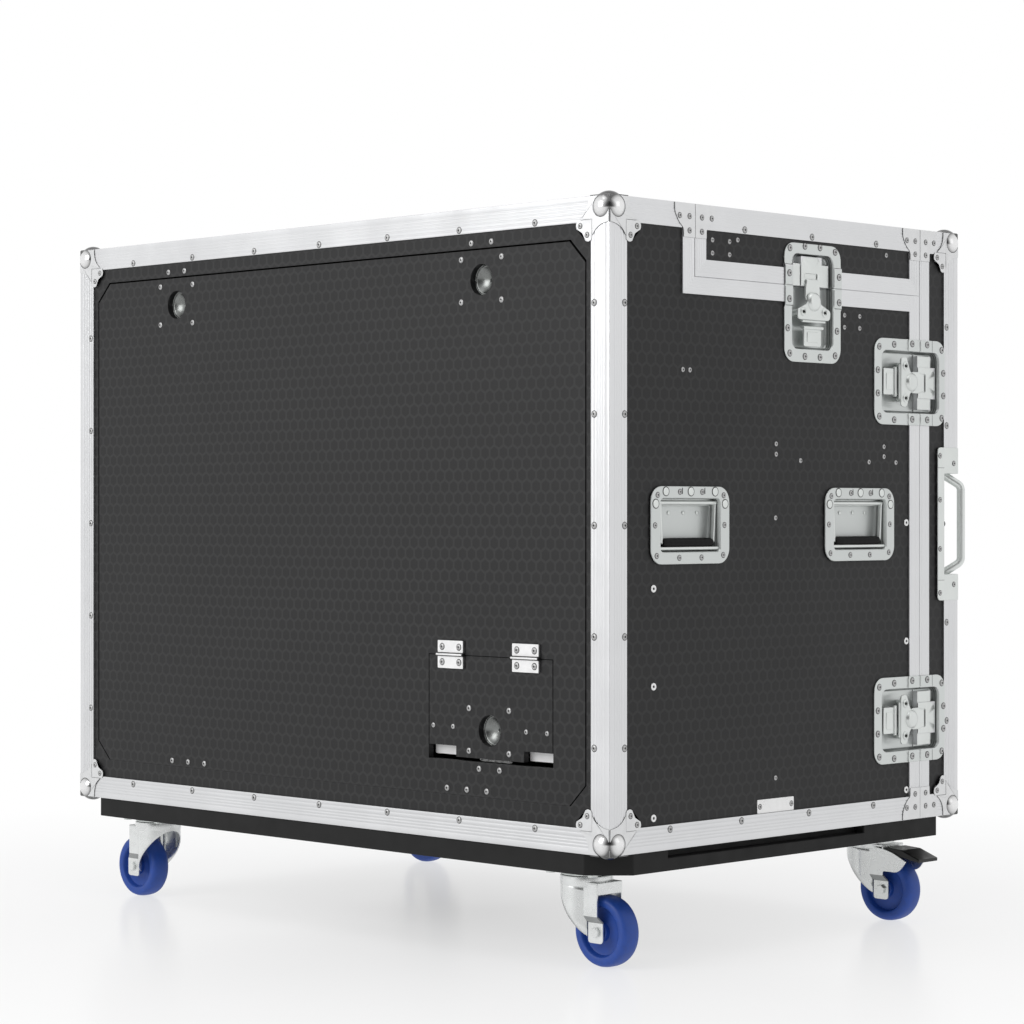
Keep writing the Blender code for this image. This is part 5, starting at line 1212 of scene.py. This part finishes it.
for body, (heads, pins) in rivets.items():
    piece(f"rivets_{body}", together(heads), rivet_steel, body)
    piece(f"rivet_pins_{body}", together(pins), dark_steel_and_painted_shade, body)


# Studio floor
# Glossy white, a little uneven in its gloss, and fading with the distance into the white of the
# surroundings.

WHITE = 1.0
FLOOR_HALF, FADE = 9, 1.8
floor_white, nodes, links, surface = shader("floor_white", (0.86, 0.86, 0.87), 0.22, specular=0.25)
place = nodes.new("ShaderNodeTexCoord").outputs["Object"]
gloss = ranged(nodes, links, noise_of(nodes, links, place, 3.0), (0.0, 1.0), (0.16, 0.26))
links.new(gloss, surface.inputs["Roughness"])
away = nodes.new("ShaderNodeVectorMath")
away.operation = "LENGTH"
links.new(place, away.inputs[0])
white = nodes.new("ShaderNodeEmission")
white.inputs["Color"].default_value = rgba(WHITE)
spread = nodes.new("ShaderNodeMixShader")
links.new(ranged(nodes, links, away.outputs["Value"], (-FADE, FADE)), spread.inputs[0])
links.new(surface.outputs[0], spread.inputs[1])
links.new(white.outputs[0], spread.inputs[2])
links.new(spread.outputs[0], nodes["Material Output"].inputs["Surface"])
floor_mesh = bpy.data.meshes.new("floor")
corners = [(a * FLOOR_HALF, b * FLOOR_HALF, 0) for a, b in ((-1, -1), (1, -1), (1, 1), (-1, 1))]
floor_mesh.from_pydata(corners, [], [(0, 1, 2, 3)])
floor_mesh.materials.append(floor_white)
floor = bpy.data.objects.new("floor", floor_mesh)
bpy.context.scene.collection.objects.link(floor)


# Surroundings
# They light the case evenly from all round. Seen directly they are plain white, and in mirrors they
# turn dark towards the camera's corner, as a room does behind a photographer.

world = bpy.data.worlds.new("studio")
bpy.context.scene.world = world
world.use_nodes = True
nodes, links = world.node_tree.nodes, world.node_tree.links
soft = nodes["Background"]
soft.inputs["Color"].default_value = rgba(WHITE)
soft.inputs["Strength"].default_value = 0.56
seen = nodes.new("ShaderNodeBackground")
seen.inputs["Color"].default_value = rgba(WHITE)
path = nodes.new("ShaderNodeLightPath").outputs
heading = nodes.new("ShaderNodeVectorMath")
heading.operation = "DOT_PRODUCT"
heading.inputs[1].default_value = (0.7071, -0.7071, 0)
links.new(nodes.new("ShaderNodeTexCoord").outputs["Generated"], heading.inputs[0])
gloom = ranged(nodes, links, heading.outputs["Value"], (0.60, 0.93), (1.0, 0.03))
lit = step_of(nodes, links, "MAXIMUM", gloom, path["Is Camera Ray"])
links.new(lit, seen.inputs["Strength"])
shown = step_of(nodes, links, "MAXIMUM", path["Is Camera Ray"], path["Is Glossy Ray"])
shown_too = step_of(nodes, links, "MAXIMUM", shown, path["Is Transmission Ray"])
pick = nodes.new("ShaderNodeMixShader")
links.new(shown_too, pick.inputs[0])
links.new(soft.outputs[0], pick.inputs[1])
links.new(seen.outputs[0], pick.inputs[2])
links.new(pick.outputs[0], nodes["World Output"].inputs[0])


# Lamps and camera
# Soft lamps stand above and on both sides. The camera is level, 0.64 m up, and looks 45 degrees
# round the corner of door and right side.


def lamp(name, place, towards, size, power):
    """A square soft lamp that looks at a point."""
    light = bpy.data.lights.new(name, "AREA")
    light.size = size
    light.energy = power
    thing = bpy.data.objects.new(name, light)
    thing.location = place
    thing.rotation_euler = (Vector(towards) - Vector(place)).to_track_quat("-Z", "Y").to_euler()
    bpy.context.scene.collection.objects.link(thing)


lamp("top_lamp", (0.5, -0.8, 3.4), (0, 0, 0.5), 2.4, 16)
lamp("side_lamp", (3.6, 0.9, 1.9), (0.3, 0, 0.6), 1.8, 3)
lamp("door_lamp", (-0.8, -3.6, 2.0), (0, -0.3, 0.6), 1.8, 46)

camera = bpy.data.cameras.new("camera")
camera.sensor_width = 36
camera.lens = 100.03
camera.clip_end = 100
viewer = bpy.data.objects.new("camera", camera)
viewer.location = (3.2447, -3.2295, 0.6355)
viewer.rotation_euler = np.radians((90, 0, 45))
bpy.context.scene.collection.objects.link(viewer)
bpy.context.scene.camera = viewer
bpy.context.scene.view_settings.view_transform = "Standard"
